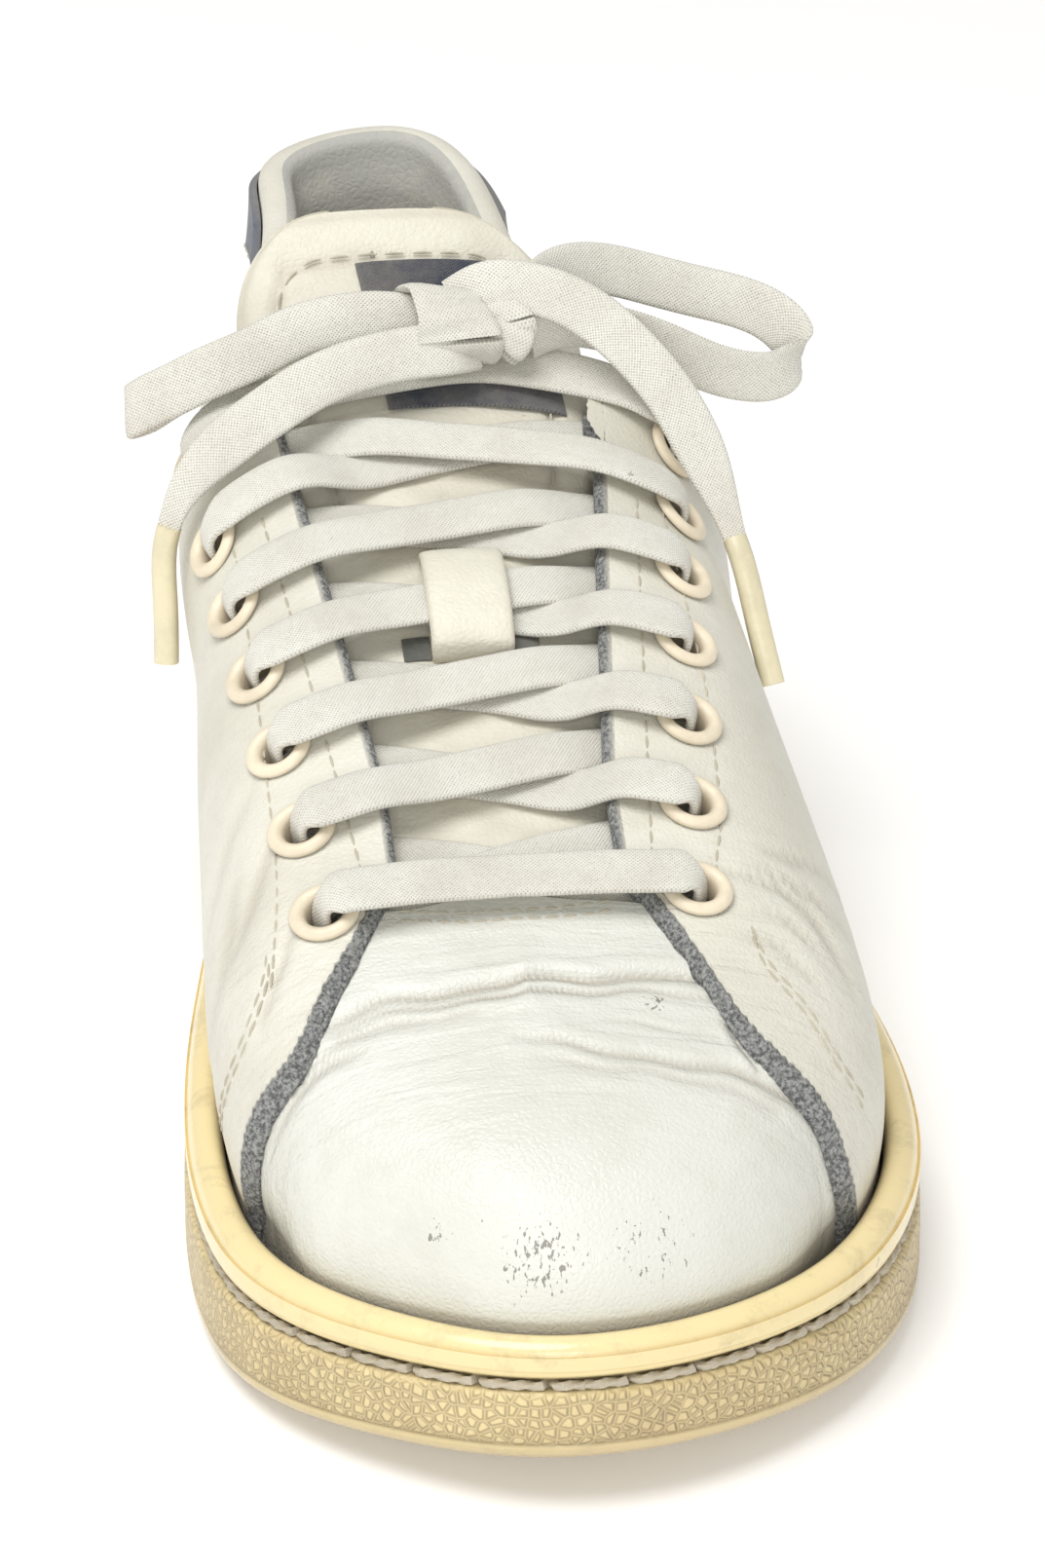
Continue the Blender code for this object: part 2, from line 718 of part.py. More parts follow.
def make_insole(finish):
    """The sock on the floor of the cup, inside the upper."""
    count = INSOLE_COLUMNS
    v = np.concatenate([np.linspace(0, 1, count // 2 + 1), np.linspace(-1, 0, count // 2 + 1)[1:-1]])
    inset = feather_inset(v) + VAMP_IN + 2 * GAP
    plan, _ = outline(v, -inset)
    here = np.clip(plan[:, 1] / LENGTH, 0, 1)
    low = np.column_stack([plan, floor_height(here) + GAP])
    high = low + [0, 0, INSOLE_THICK]
    faces = ladder(0, count) + bridge(0, count, count) + ladder(count, 2 * count)
    return add_mesh("insole", np.vstack([world(low), world(high)]), faces, finish)


def bottom_of(v, out):
    """The lower edge of the upper in the cup, straight under its rim line."""
    points = skin(v, 0.0 * v, out)
    share = np.clip((HEEL_CENTRE - points[..., 1]) / LENGTH, 0, 1)
    points[..., 2] = floor_height(share) + GAP
    return points


def collar_pad(v, rise):
    """Extra thickness inside the collar, from the ankle's height to the top edge."""
    share = share_of(v)
    along = 1 - ease(share, *PAD_SPAN)
    up = ease(rise, *PAD_RISE) * (1 - 0.35 * ease(rise, 0.86, 1.0))
    return COLLAR_PAD * along * up


def quarter_grid(columns, rows):
    """v and s over both quarters: columns from the inner front edge round the heel."""
    p = np.linspace(-1, 1, columns)
    rise = np.linspace(0, 1, rows)
    front = place_of(smooth_curve(*table_of(QUARTER_FRONT))(rise))
    v = p[:, None] * np.where(p[:, None] < 0, front[:, 0], front[:, 1])
    top = top_share(v[:, -1])
    s = rise[None, :] * top[:, None]
    return v, s, rise


def make_quarters(finish):
    """Both quarters as one shell round the heel, padded at the collar, open at the throat."""
    columns, rows = QUARTER_GRID
    v, s, rise = quarter_grid(columns, rows)
    pad = collar_pad(v, rise[None, :])
    outer = skin(v, s, QUARTER_OUT + 0 * v)
    inner = skin(v, s, -QUARTER_IN - pad)
    crest = last(v[:, -1], s[:, -1])
    up = crest - last(v[:, -1], s[:, -1] - 0.02)
    up /= np.linalg.norm(up, axis=-1, keepdims=True)
    span = (outer[:, -1] + inner[:, -1]) / 2
    thick = np.linalg.norm(outer[:, -1] - inner[:, -1], axis=-1, keepdims=True)
    crown = span + up * np.minimum(thick * CROWN_SHARE, CROWN_MOST)
    rings = []
    for c in range(columns):
        ring = [bottom_of(v[c, 0], np.array(QUARTER_OUT)), *outer[c]]
        ring += [crown[c]]
        ring += [*inner[c][::-1], bottom_of(v[c, 0], np.array(-QUARTER_IN))]
        rings.append(ring)
    size = len(rings[0])
    verts = [p for ring in rings for p in ring]
    faces = []
    for c in range(columns - 1):
        faces += bridge(c * size, (c + 1) * size, size)
    for c in (0, columns - 1):
        base = c * size
        for k in range(rows):
            faces.append((base + k, base + k + 1, base + size - 2 - k, base + size - 1 - k))
        faces.append((base + rows, base + rows + 1, base + rows + 2))
    return add_mesh("upper", verts, faces, finish)


def make_vamp(finish):
    """The toe part of the upper, which runs in under the quarters."""
    half, rows = VAMP_GRID
    rise = np.linspace(0, 1, rows)
    back = place_of(smooth_curve(*table_of(VAMP_BACK))(rise))
    across = np.linspace(0, 1, half + 1)[:, None] ** 0.85
    v_inner = 2 - back[:, 0] - (1 - back[:, 0]) * across
    v_outer = back[:, 1] + (1 - back[:, 1]) * across
    v = np.vstack([v_outer, v_inner[-2::-1]])
    columns = len(v)
    s = np.broadcast_to(rise, v.shape)
    sides = []
    for out in (VAMP_OUT, -VAMP_IN):
        sides.append((bottom_of(v[:, 0], out + 0 * v[:, 0]), skin(v, s, out + 0 * v)))
    verts = []
    number = []
    for low, grid in sides:
        index = np.zeros((columns, rows + 1), int)
        for c in range(columns):
            for r in range(rows + 1):
                twin = columns - 1 - c
                if r == rows and c > half:
                    index[c, r] = index[twin, r]
                    continue
                point = low[c] if r == 0 else grid[c, r - 1]
                if r == rows:
                    point = (grid[c, r - 1] + grid[twin, r - 1]) / 2
                index[c, r] = len(verts)
                verts.append(point)
        number.append(index)
    faces = []
    for index, flip in zip(number, (False, True)):
        for c in range(columns - 1):
            for r in range(rows):
                face = [index[c, r], index[c + 1, r], index[c + 1, r + 1], index[c, r + 1]]
                face = [int(k) for i, k in enumerate(face) if k not in face[:i]]
                faces.append(tuple(face[::-1]) if flip else tuple(face))
    outer, inner = number
    for c in range(columns - 1):
        faces.append(tuple(int(k) for k in (outer[c, 0], inner[c, 0], inner[c + 1, 0], outer[c + 1, 0])))
    for c in (0, columns - 1):
        for r in range(rows):
            ends = (outer[c, r], outer[c, r + 1], inner[c, r + 1], inner[c, r])
            faces.append(tuple(int(k) for k in ends))
    return add_mesh("vamp", verts, faces, finish)


def row_share(row):
    """Share of the length at an eyelet row, the first row in front."""
    return ROW_FIRST - (row - 1) * ROW_PITCH / LENGTH


def row_away(row):
    """Distance of an eyelet from the throat's middle line."""
    return throat_half(row_share(row)) + ROW_INSET


def over_throat(rows, aways, lifts):
    """Points at rows, signed distances from the middle line, and heights over the last.

    Under the quarters they follow the tongue, which leaves the last at its bend.
    """
    share = row_share(np.asarray(rows, float))
    under = 1 - ease(lifts, -0.0010, 0.0040)
    free = np.maximum(BEND_SHARE - share, 0.0) * under
    v, s = place_at(share + free, aways)
    return skin(v, s, np.asarray(lifts, float)) + tongue_shift(free * LENGTH / TONGUE_REACH)


def frame_at(row, side):
    """Middle of an eyelet on the leather, with its axis."""
    v, s = place_at(row_share(row), side * row_away(row))
    return skin(v, s, np.array(QUARTER_OUT)), last_normal(v, s)


def turned(name, profile, point, axis, finish, sides=EYELET_SIDES):
    """A ring turned about an axis from a closed profile of (radius, height)."""
    spin = Vector(axis).to_track_quat("Z", "Y").to_matrix()
    verts = []
    for k in range(sides):
        angle = 2 * math.pi * k / sides
        for radius, height in profile:
            local = Vector((radius * math.cos(angle), radius * math.sin(angle), height))
            verts.append(Vector(point) + spin @ local)
    size = len(profile)
    faces = []
    for k in range(sides):
        here, there = k * size, ((k + 1) % sides) * size
        faces += [
            (here + j, here + (j + 1) % size, there + (j + 1) % size, there + j)
            for j in range(size)
        ]
    return add_mesh(name, verts, faces, finish)


def hole_cutter(point, axis, finish, sides=EYELET_SIDES):
    radius = EYELET_BORE + BARREL_WALL + GAP
    spin = Vector(axis).to_track_quat("Z", "Y").to_matrix()
    verts = []
    for height in (-0.006, 0.004):
        for k in range(sides):
            angle = 2 * math.pi * k / sides
            local = Vector((radius * math.cos(angle), radius * math.sin(angle), height))
            verts.append(Vector(point) + spin @ local)
    faces = [tuple(range(sides)), tuple(range(2 * sides - 1, sides - 1, -1))]
    faces += bridge(0, sides, sides)
    return add_mesh("hole_cutter", verts, faces, finish)


def make_eyelet(name, row, side, finish):
    """A plastic ring: a domed lip on the leather and a barrel through it."""
    point, axis = frame_at(row, side)
    seat = EYELET_SEAT
    depth = -(QUARTER_OUT + QUARTER_IN) + 0.0002
    profile = (
        (EYELET_BORE, depth),
        (EYELET_BORE + BARREL_WALL, depth),
        (EYELET_BORE + BARREL_WALL, seat),
        (EYELET_RADIUS, seat),
        (EYELET_RADIUS - 0.0009, seat + EYELET_LIP),
        (EYELET_BORE + 0.0004, seat + 0.7 * EYELET_LIP),
    )
    return turned(name, profile, point, axis, finish)


def make_upper(finish):
    """Quarters and vamp joined to one hollow shell, with the eyelet holes cut."""
    upper = make_quarters(finish)
    cut(upper, make_vamp(finish), "UNION")
    for side in (-1.0, 1.0):
        for row in range(1, ROWS + 1):
            cut(upper, hole_cutter(*frame_at(row, side), finish))
    upper.data.shade_smooth()
    upper.data.set_sharp_from_angle(angle=math.radians(SHARP_ANGLE))
    return upper


def tongue_shift(free):
    """Where the section at the bend has moved to, at a share of the free part of the tongue."""
    free = np.asarray(free, float)
    rise = TONGUE_PATH(free)[..., 0]
    return np.stack([0 * free, TONGUE_REACH * free, TONGUE_RISE * rise], axis=-1)


def tongue_half(t):
    """Half width of the tongue, with round corners at its top."""
    half = TONGUE_FOOT / 2 + (TONGUE_WIDTH - TONGUE_FOOT) / 2 * ease(t, 0.35, 1.0)
    corner = np.clip((t - 0.86) / 0.14, 0, 1)
    return half * (0.30 + 0.70 * np.sqrt(np.clip(1 - corner**2.2, 0, 1)))


def tongue_points(t, e, depth):
    """Points of the tongue: t along, e from -1 to 1 across, depth under its top face."""
    t, e, depth = np.broadcast_arrays(t, e, depth)
    share = TONGUE_START + (BEND_SHARE - TONGUE_START) * np.minimum(t / TONGUE_BEND, 1.0)
    free = np.maximum((t - TONGUE_BEND) / (1 - TONGUE_BEND), 0.0)
    v, s = place_at(share, e * tongue_half(t))
    point = skin(v, s, -TONGUE_DEPTH - depth) + tongue_shift(free)
    point[..., 0] -= TONGUE_DRIFT * free**2
    return point


def plate(name, top, low, finish):
    """A closed plate between two grids of points of one size."""
    rows, columns = top.shape[:2]
    shift = rows * columns
    faces = []
    for i in range(rows - 1):
        for j in range(columns - 1):
            a = i * columns + j
            faces.append((a, a + 1, a + columns + 1, a + columns))
            faces.append((shift + a, shift + a + columns, shift + a + columns + 1, shift + a + 1))
        for j in (0, columns - 1):
            a = i * columns + j
            faces.append((a, a + columns, shift + a + columns, shift + a))
    for j in range(columns - 1):
        for i in (0, rows - 1):
            a = i * columns + j
            faces.append((a, a + 1, shift + a + 1, shift + a))
    return add_mesh(name, [*top.reshape(-1, 3), *low.reshape(-1, 3)], faces, finish)


def make_tongue(finish):
    """A padded tongue: thin under the vamp, full above, with round corners."""
    t = np.array([*np.linspace(0, 0.86, 13), 0.92, 0.965, 1.0])[:, None]
    e = np.linspace(-1, 1, 9)[None, :]
    swell = 0.25 + 0.75 * ease(t, 0.12, 0.40)
    edge = 1 - 0.72 * np.abs(e) ** 3
    thick = TONGUE_THICK * swell * edge * (1 - 0.55 * ease(t, 0.94, 1.0))
    return plate("tongue", tongue_points(t, e, 0.0), tongue_points(t, e, thick), finish)


def plate_on_tongue(name, ends, width, thick, finish, arch=0.0, shift=0.0, along=8, over=5):
    """A thin plate that follows the top face of the tongue, with its middle raised by arch."""
    i = np.linspace(0, 1, along)[:, None]
    t = ends[0] + (ends[1] - ends[0]) * i
    e = (np.linspace(-1, 1, over)[None, :] * width / 2 + shift) / tongue_half(t)
    low = -GAP - arch * np.sin(math.pi * i) ** ARCH_POWER
    return plate(name, tongue_points(t, e, low - thick), tongue_points(t, e, low), finish)


def make_heel_tab(finish):
    """The patch over the back of the collar, from the same surface, just off the leather."""
    p = np.linspace(-1, 1, 19)
    edge = smooth_curve(*table_of(TAB_EDGE))(np.abs(p))
    rise = np.linspace(0, 1, 5)[None, :]
    v = (p * float(place_of(TAB_REACH / LENGTH)))[:, None] + 0 * rise
    s = edge + (TAB_TOP - edge) * rise
    low = skin(v, s, QUARTER_OUT + GAP + 0 * v)
    top = skin(v, s, QUARTER_OUT + GAP + TAB_THICK + 0 * v)
    return plate("heel_tab", top, low, finish)


def strip(name, route, row, side, finish, until=1.0):
    """A flat lace strip along a route of (rows on, share of the eyelet's distance, height)."""
    smooth = smooth_curve(np.linspace(0, 1, len(route)), route)(np.linspace(0, until, STRIP_STEPS))
    rows = row + smooth[:, 0]
    away = side * smooth[:, 1] * row_away(rows)
    middle = over_throat(rows, away, smooth[:, 2])
    up = over_throat(rows, away, smooth[:, 2] + LACE_THICK) - middle
    return flat_cord(name, middle, up, finish)


def flat_cord(name, middle, up, finish):
    """A flat cord along its middle points, each with the direction that its face looks to."""
    along = np.gradient(middle, axis=0)
    wide = np.cross(along, up)
    wide /= np.linalg.norm(wide, axis=-1, keepdims=True)
    thick = np.cross(wide, along)
    thick /= np.linalg.norm(thick, axis=-1, keepdims=True)
    verts = []
    for m, w, h in zip(middle, wide, thick):
        for a, b in LACE_SECTION:
            verts.append(m + w * a * LACE_WIDTH + h * b * LACE_THICK)
    size = len(LACE_SECTION)
    faces = [tuple(range(size)), tuple(range(len(verts) - 1, len(verts) - size - 1, -1))]
    for k in range(len(middle) - 1):
        faces += bridge(size * k, size * (k + 1), size)
    return add_mesh(name, verts, faces, finish)


def top_ends():
    """The two ends of the riser over the top eyelets, with the axes of the eyelets."""
    ends = []
    for side in (-1.0, 1.0):
        point, axis = frame_at(ROWS, side)
        ends.append((point + axis * OVER_ROUTE[0][2] - axis * QUARTER_OUT, axis))
    return ends


def make_riser(finish):
    """The strip between the top eyelets: over the edges of the quarters and over the tongue."""
    (start, first), (end, last_axis) = top_ends()
    route = smooth_curve(*table_of(RISER_ROUTE))(RISER_AT)
    share = RISER_AT[:, None]
    middle = start + (end - start) * share
    middle[:, 1:] += route
    for at, place, axis in ((1, start, first), (-2, end, last_axis)):
        flat = middle[at] - place
        flat -= axis * ((flat @ axis) - RISER_LIFT)
        middle[at] = place + flat
    lean = np.array([0.0, RISER_LEAN, 1.0])
    near = ease(share, 0.0, 0.25)
    far = ease(1 - share, 0.0, 0.25)
    up = first * (1 - near) + last_axis * (1 - far) + lean * near * far
    return flat_cord("lace_riser", middle, up, finish)


def bow_origin():
    """The middle between the two top eyelets, from which the bow is measured."""
    (start, _), (end, _) = top_ends()
    return (start + end) / 2


def make_crossing(row, finish):
    """Two strips that cross over the tongue, joined where they lie on each other."""
    until = LAST_CROSSING if row == ROWS - 1 else 1.0
    first = strip(f"lace_cross_{row}", OVER_ROUTE, row, 1.0, finish, until)
    cut(first, strip("under", UNDER_ROUTE, row, -1.0, finish, until), "UNION")
    return first


def cord(name, route, radius, finish):
    """A round cord on a smooth curve through its route's points, measured from the bow's origin."""
    route = bow_origin() + np.array(route) * [1, -1, 1]
    length = np.linalg.norm(np.diff(route, axis=0), axis=1).sum()
    count = max(3, round(length / CORD_STEP))
    smooth = smooth_curve(np.arange(len(route)), route)
    points = smooth(np.linspace(0, len(route) - 1, count))
    curve = bpy.data.curves.new(name, "CURVE")
    curve.dimensions = "3D"
    curve.bevel_depth = radius
    curve.bevel_resolution = 2
    curve.use_fill_caps = True
    spline = curve.splines.new("POLY")
    spline.points.add(count - 1)
    for target, point in zip(spline.points, points):
        target.co = (*point, 1)
    curve.materials.append(finish)
    made = bpy.data.objects.new(name, curve)
    bpy.context.collection.objects.link(made)
    return made


def build():
    for existing in list(bpy.data.objects):
        bpy.data.objects.remove(existing, do_unlink=True)
    rubber = material("sole_rubber", (0.80, 0.70, 0.42), 0.45)
    leather = material("upper_leather", (0.78, 0.76, 0.68), 0.50)
    lining = material("tongue_leather", (0.80, 0.78, 0.69), 0.52)
    sock = material("insole_cloth", (0.62, 0.58, 0.48), 0.90)
    ring = material("eyelet_plastic", (0.86, 0.82, 0.70), 0.35)
    cotton = material("lace_cotton", (0.80, 0.79, 0.72), 0.90)
    navy = material("heel_tab_leather", (0.10, 0.13, 0.20), 0.55)
    label = material("label_woven", (0.03, 0.04, 0.07), 0.80)
    tip = material("aglet_plastic", (0.70, 0.66, 0.50), 0.30)
    make_outsole(rubber)
    make_insole(sock)
    make_upper(leather)
    make_tongue(lining)
    plate_on_tongue("lace_keeper", KEEPER_ENDS, KEEPER_WIDTH, KEEPER_THICK, lining, KEEPER_ARCH)
    plate_on_tongue("tongue_label", LABEL_ENDS, LABEL_WIDTH, LABEL_THICK, label, shift=LABEL_SHIFT)
    make_heel_tab(navy)
    for name, side in (("inner", -1.0), ("outer", 1.0)):
        for row in range(1, ROWS + 1):
            make_eyelet(f"eyelet_{name}_{row}", row, side, ring)
    strip("lace_bar", BAR_ROUTE, 1, 1.0, cotton)
    for row in range(2, ROWS):
        make_crossing(row, cotton)
    make_riser(cotton)
    cord("lace_knot", KNOT_ROUTE, KNOT_RADIUS, cotton)
    cord("lace_loop_left", LEFT_LOOP_ROUTE, CORD_RADIUS, cotton)
    cord("lace_loop_right", RIGHT_LOOP_ROUTE, CORD_RADIUS, cotton)
    cord("lace_end_left", LEFT_END_ROUTE, CORD_RADIUS, cotton)
    cord("lace_end_right", RIGHT_END_ROUTE, CORD_RADIUS, cotton)
    cord("aglet_left", LEFT_AGLET_ROUTE, AGLET_RADIUS, tip)
    cord("aglet_right", RIGHT_AGLET_ROUTE, AGLET_RADIUS, tip)


build()
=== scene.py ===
# %% [markdown]
# # A worn leather tennis sneaker, in Blender
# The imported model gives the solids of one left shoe: a rubber cup sole, a hollow leather upper, a
# tongue, eyelets and laces. They are plain. Here each one is dressed: fine surfaces with creases and
# raw edges, stitches, woven laces, yellowed rubber and the dirt of years. Every size below is in
# metres, the toe points along -Y and the outer side of the foot is +X.

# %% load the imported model
import math

import bmesh
import bpy
import numpy as np
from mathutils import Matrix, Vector

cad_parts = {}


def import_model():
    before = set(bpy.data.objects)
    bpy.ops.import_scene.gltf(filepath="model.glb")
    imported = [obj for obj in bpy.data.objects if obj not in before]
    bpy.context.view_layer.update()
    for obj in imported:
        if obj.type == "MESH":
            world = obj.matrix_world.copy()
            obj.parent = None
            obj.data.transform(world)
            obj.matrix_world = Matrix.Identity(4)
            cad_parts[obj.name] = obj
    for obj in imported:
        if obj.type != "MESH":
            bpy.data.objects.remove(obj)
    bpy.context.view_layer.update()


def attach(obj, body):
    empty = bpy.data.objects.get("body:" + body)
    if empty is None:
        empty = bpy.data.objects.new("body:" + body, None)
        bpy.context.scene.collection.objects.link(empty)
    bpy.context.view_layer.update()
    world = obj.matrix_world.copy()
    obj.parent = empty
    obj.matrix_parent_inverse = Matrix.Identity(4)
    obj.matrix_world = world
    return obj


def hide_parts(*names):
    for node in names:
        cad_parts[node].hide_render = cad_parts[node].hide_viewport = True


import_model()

# %% [markdown]
# ## Camera
# The photograph looks down on the toe from just in front of it. The camera stands at the same place
# and is turned to the middle of the one shoe, with a long lens, so the shoe fills the picture and
# its perspective stays that of the photograph.

# %% camera
CAMERA_PLACE = Vector((-0.0891, -0.9192, 0.4549))
CAMERA_AIM = Vector((0.0057, -0.1310, 0.0475))
CAMERA_LENS = 134.0
CAMERA_FILM = 36.0
camera = bpy.data.objects.new("camera", bpy.data.cameras.new("camera"))
camera.data.sensor_fit = "VERTICAL"
camera.data.sensor_height = CAMERA_FILM
camera.data.lens = CAMERA_LENS
camera.location = CAMERA_PLACE
camera.rotation_euler = (CAMERA_AIM - CAMERA_PLACE).to_track_quat("-Z", "Y").to_euler()
bpy.context.scene.collection.objects.link(camera)
bpy.context.scene.camera = camera
print("camera stands", round((CAMERA_AIM - CAMERA_PLACE).length, 3), "m from the shoe")

# %% [markdown]
# ## The last
# A shoe is built over a last, a form of the foot. The sole's outline, its rim, the collar's edge and
# the ridge of the instep are short tables of shares of the shoe's own sizes, the same as in the
# solids' source. A smooth curve runs through each table, and a place on the last is (v, s): v runs
# round the shoe from the heel (0) to the toe (1 outside, -1 inside), s runs from the rim (0) up (1).

# %% sizes of the shoe
# Driving sizes of the whole shoe
LENGTH = 0.298
BALL_WIDTH = 0.1085
HEEL_WIDTH = 0.076
INSTEP_HEIGHT = 0.0882
RIDGE_SLOPE = 0.33
HEEL_HEIGHT = 0.091
HEEL_CENTRE = 0.040
GAP = 0.0003

# Sole
RIM_TOE = 0.0190
RIM_BALL = 0.0245
RIM_HEEL = 0.0325
TOE_SPRING = 0.0085
ARCH_RISE = 0.0012
RIM_WALL = 0.0058
FLOOR_TOE = 0.0080
FLOOR_HEEL = 0.0150
BAND_SHARE = 0.60
TREAD_DEPTH = 0.0013
TREAD_WIDTH = 0.0034
TREAD_PITCH = 0.0125
TREAD_ZONES = ((0.0713, 0.28), (0.58, 0.84))
ARCH_SPAN = (0.30, 0.42, 0.50, 0.60)
SPRING_START = 0.745
FLOOR_SPAN = (0.15, 0.70)

# Upper
QUARTER_OUT = 0.0028
QUARTER_IN = 0.0002
VAMP_OUT = 0.0006
VAMP_IN = 0.0014
COLLAR_PAD = 0.0045
PAD_SPAN = (0.34, 0.42)
PAD_RISE = (0.42, 0.72)
CROWN_SHARE = 0.4
CROWN_MOST = 0.0022
THROAT_FRONT = 0.0168
THROAT_TOP = 0.0260
THROAT_SHIFT = -0.0028
THROAT_ENDS = (0.765, 0.430)
COLLAR_END = 0.40
FOOT_DEPTH = 0.0010
COVER_START = (0.875, 0.912)
COVER_FADE = 0.05

# Eyelets
ROWS = 7
ROW_PITCH = 0.0166
ROW_FIRST = 0.768
ROW_INSET = 0.0094
EYELET_RADIUS = 0.0053
EYELET_BORE = 0.0027
BARREL_WALL = 0.0006

# Tongue, its strap and its label, insole, heel tab
TONGUE_WIDTH = 0.0590
TONGUE_FOOT = 0.0440
TONGUE_THICK = 0.0060
TONGUE_RISE = 0.0275
TONGUE_REACH = 0.0470
TONGUE_DEPTH = 0.0026
TONGUE_DRIFT = 0.0050
TONGUE_START = 0.812
TONGUE_BEND = 0.64
BEND_SHARE = 0.478
KEEPER_WIDTH = 0.0120
KEEPER_ENDS = (0.392, 0.523)
KEEPER_ARCH = 0.0050
ARCH_POWER = 0.30
KEEPER_THICK = 0.0012
LABEL_WIDTH = 0.0285
LABEL_ENDS = (0.750, 0.934)
LABEL_THICK = 0.0006
LABEL_SHIFT = 0.0075
INSOLE_THICK = 0.0040
TAB_THICK = 0.0014
TAB_TOP = 0.985
TAB_REACH = 0.0420

# Laces
LACE_WIDTH = 0.0083

# %% the tables of the last
# Share of the length, then inner and outer half width as shares of the width there
HEEL_ROWS = (
    (0.017, -0.263, 0.290),
    (0.050, -0.401, 0.447),
    (0.100, -0.454, 0.507),
    (0.170, -0.474, 0.526),
)
BALL_ROWS = (
    (0.270, -0.331, 0.382),
    (0.370, -0.332, 0.400),
    (0.470, -0.362, 0.428),
    (0.570, -0.402, 0.470),
    (0.670, -0.446, 0.513),
    (0.730, -0.463, 0.527),
    (0.780, -0.468, 0.524),
    (0.830, -0.460, 0.503),
    (0.880, -0.430, 0.455),
    (0.925, -0.360, 0.380),
    (0.965, -0.243, 0.262),
)
TIP_SHIFT = -0.008

# Height of the rim over the ground line: share of the length, size it follows, share of that size
RIM_ROWS = (
    (0.00, "heel", 1.00),
    (0.10, "heel", 0.97),
    (0.20, "heel", 0.92),
    (0.40, "heel", 0.84),
    (0.60, "ball", 1.04),
    (0.74, "ball", 1.00),
    (0.86, "ball", 0.93),
    (0.94, "toe", 1.07),
    (1.00, "toe", 1.00),
)

# Sections of the last behind the top eyelet. Each row gives the share of the length at the rim,
# then the top edge (share of length, inner and outer x as shares of the ball width, share of the
# heel height), then how the side gets there: rise, inner and outer belly, inner and outer
# shoulder, and drop
COLLAR_ROWS = (
    (0.00, 0.027, 0.000, 0.000, 1.000, 0.36, 0.022, 0.022, 0.000, 0.000, 0.34),
    (0.06, 0.055, -0.170, 0.112, 0.975, 0.36, 0.022, 0.022, 0.000, 0.000, 0.34),
    (0.15, 0.112, -0.180, 0.150, 0.925, 0.36, 0.024, 0.024, 0.000, 0.000, 0.34),
    (0.25, 0.222, -0.235, 0.198, 0.850, 0.38, 0.040, 0.036, 0.010, 0.010, 0.34),
    (0.33, 0.312, -0.288, 0.272, 0.870, 0.42, 0.070, 0.060, 0.030, 0.040, 0.30),
    (0.40, 0.390, -0.325, 0.315, 0.960, 0.50, 0.095, 0.095, 0.040, 0.062, 0.22),
)

# Between the collar and the ridge the top edge swings in; heights follow the instep from here on
SWING_ROWS = (
    (0.44, 0.420, -0.250, 0.195, 1.018, 0.62, 0.140, 0.112, 0.160, 0.130, 0.02),
    (0.48, 0.448, -0.120, 0.050, 1.022, 0.72, 0.155, 0.095, 0.285, 0.215, 0.00),
)

# In front of the top eyelet the two sides meet on the ridge of the instep
RIDGE_ROWS = (
    (0.52, 0.478, 1.000, 0.80, 0.155, 0.080, 0.320, 0.260, 0.00),
    (0.59, 0.537, 0.935, 0.83, 0.147, 0.050, 0.262, 0.255, 0.00),
    (0.67, 0.608, 0.857, 0.80, 0.105, 0.025, 0.245, 0.255, 0.00),
    (0.75, 0.675, 0.772, 0.77, 0.080, 0.025, 0.235, 0.240, 0.00),
    (0.82, 0.728, 0.702, 0.76, 0.070, 0.040, 0.225, 0.230, 0.00),
    (0.87, 0.765, 0.658, 0.76, 0.055, 0.035, 0.215, 0.220, 0.00),
    (0.91, 0.794, 0.636, 0.75, 0.030, 0.025, 0.210, 0.215, 0.00),
    (0.955, 0.821, 0.622, 0.73, 0.010, 0.010, 0.210, 0.215, 0.00),
    (1.00, 0.832, 0.618, 0.72, 0.000, 0.000, 0.210, 0.210, 0.00),
)

# Front edge of the quarters: share of the way up, then share of the length inside and outside
QUARTER_FRONT = (
    (0.00, 0.852, 0.900),
    (0.15, 0.863, 0.909),
    (0.35, 0.874, 0.908),
    (0.57, 0.882, 0.908),
    (0.70, 0.873, 0.899),
    (0.85, 0.860, 0.869),
    (1.00, 0.834, 0.834),
)

# Back edge of the vamp, hidden under the quarters but for the throat; the same three values
VAMP_BACK = (
    (0.00, 0.822, 0.872),
    (0.25, 0.848, 0.878),
    (0.50, 0.850, 0.872),
    (0.68, 0.836, 0.842),
    (0.78, 0.849, 0.847),
    (0.88, 0.856, 0.857),
    (1.00, 0.864, 0.864),
)

# Lower edge of the heel tab: share of its reach, share of the way up
TAB_EDGE = ((0.0, 0.48), (0.25, 0.52), (0.5, 0.68), (0.75, 0.78), (1.0, 0.84))

# Centre line of the tongue above the throat: shares of its reach and of its rise
TONGUE_LINE = ((0.0, 0.0), (0.25, 0.17), (0.5, 0.38), (0.75, 0.66), (1.0, 1.0))

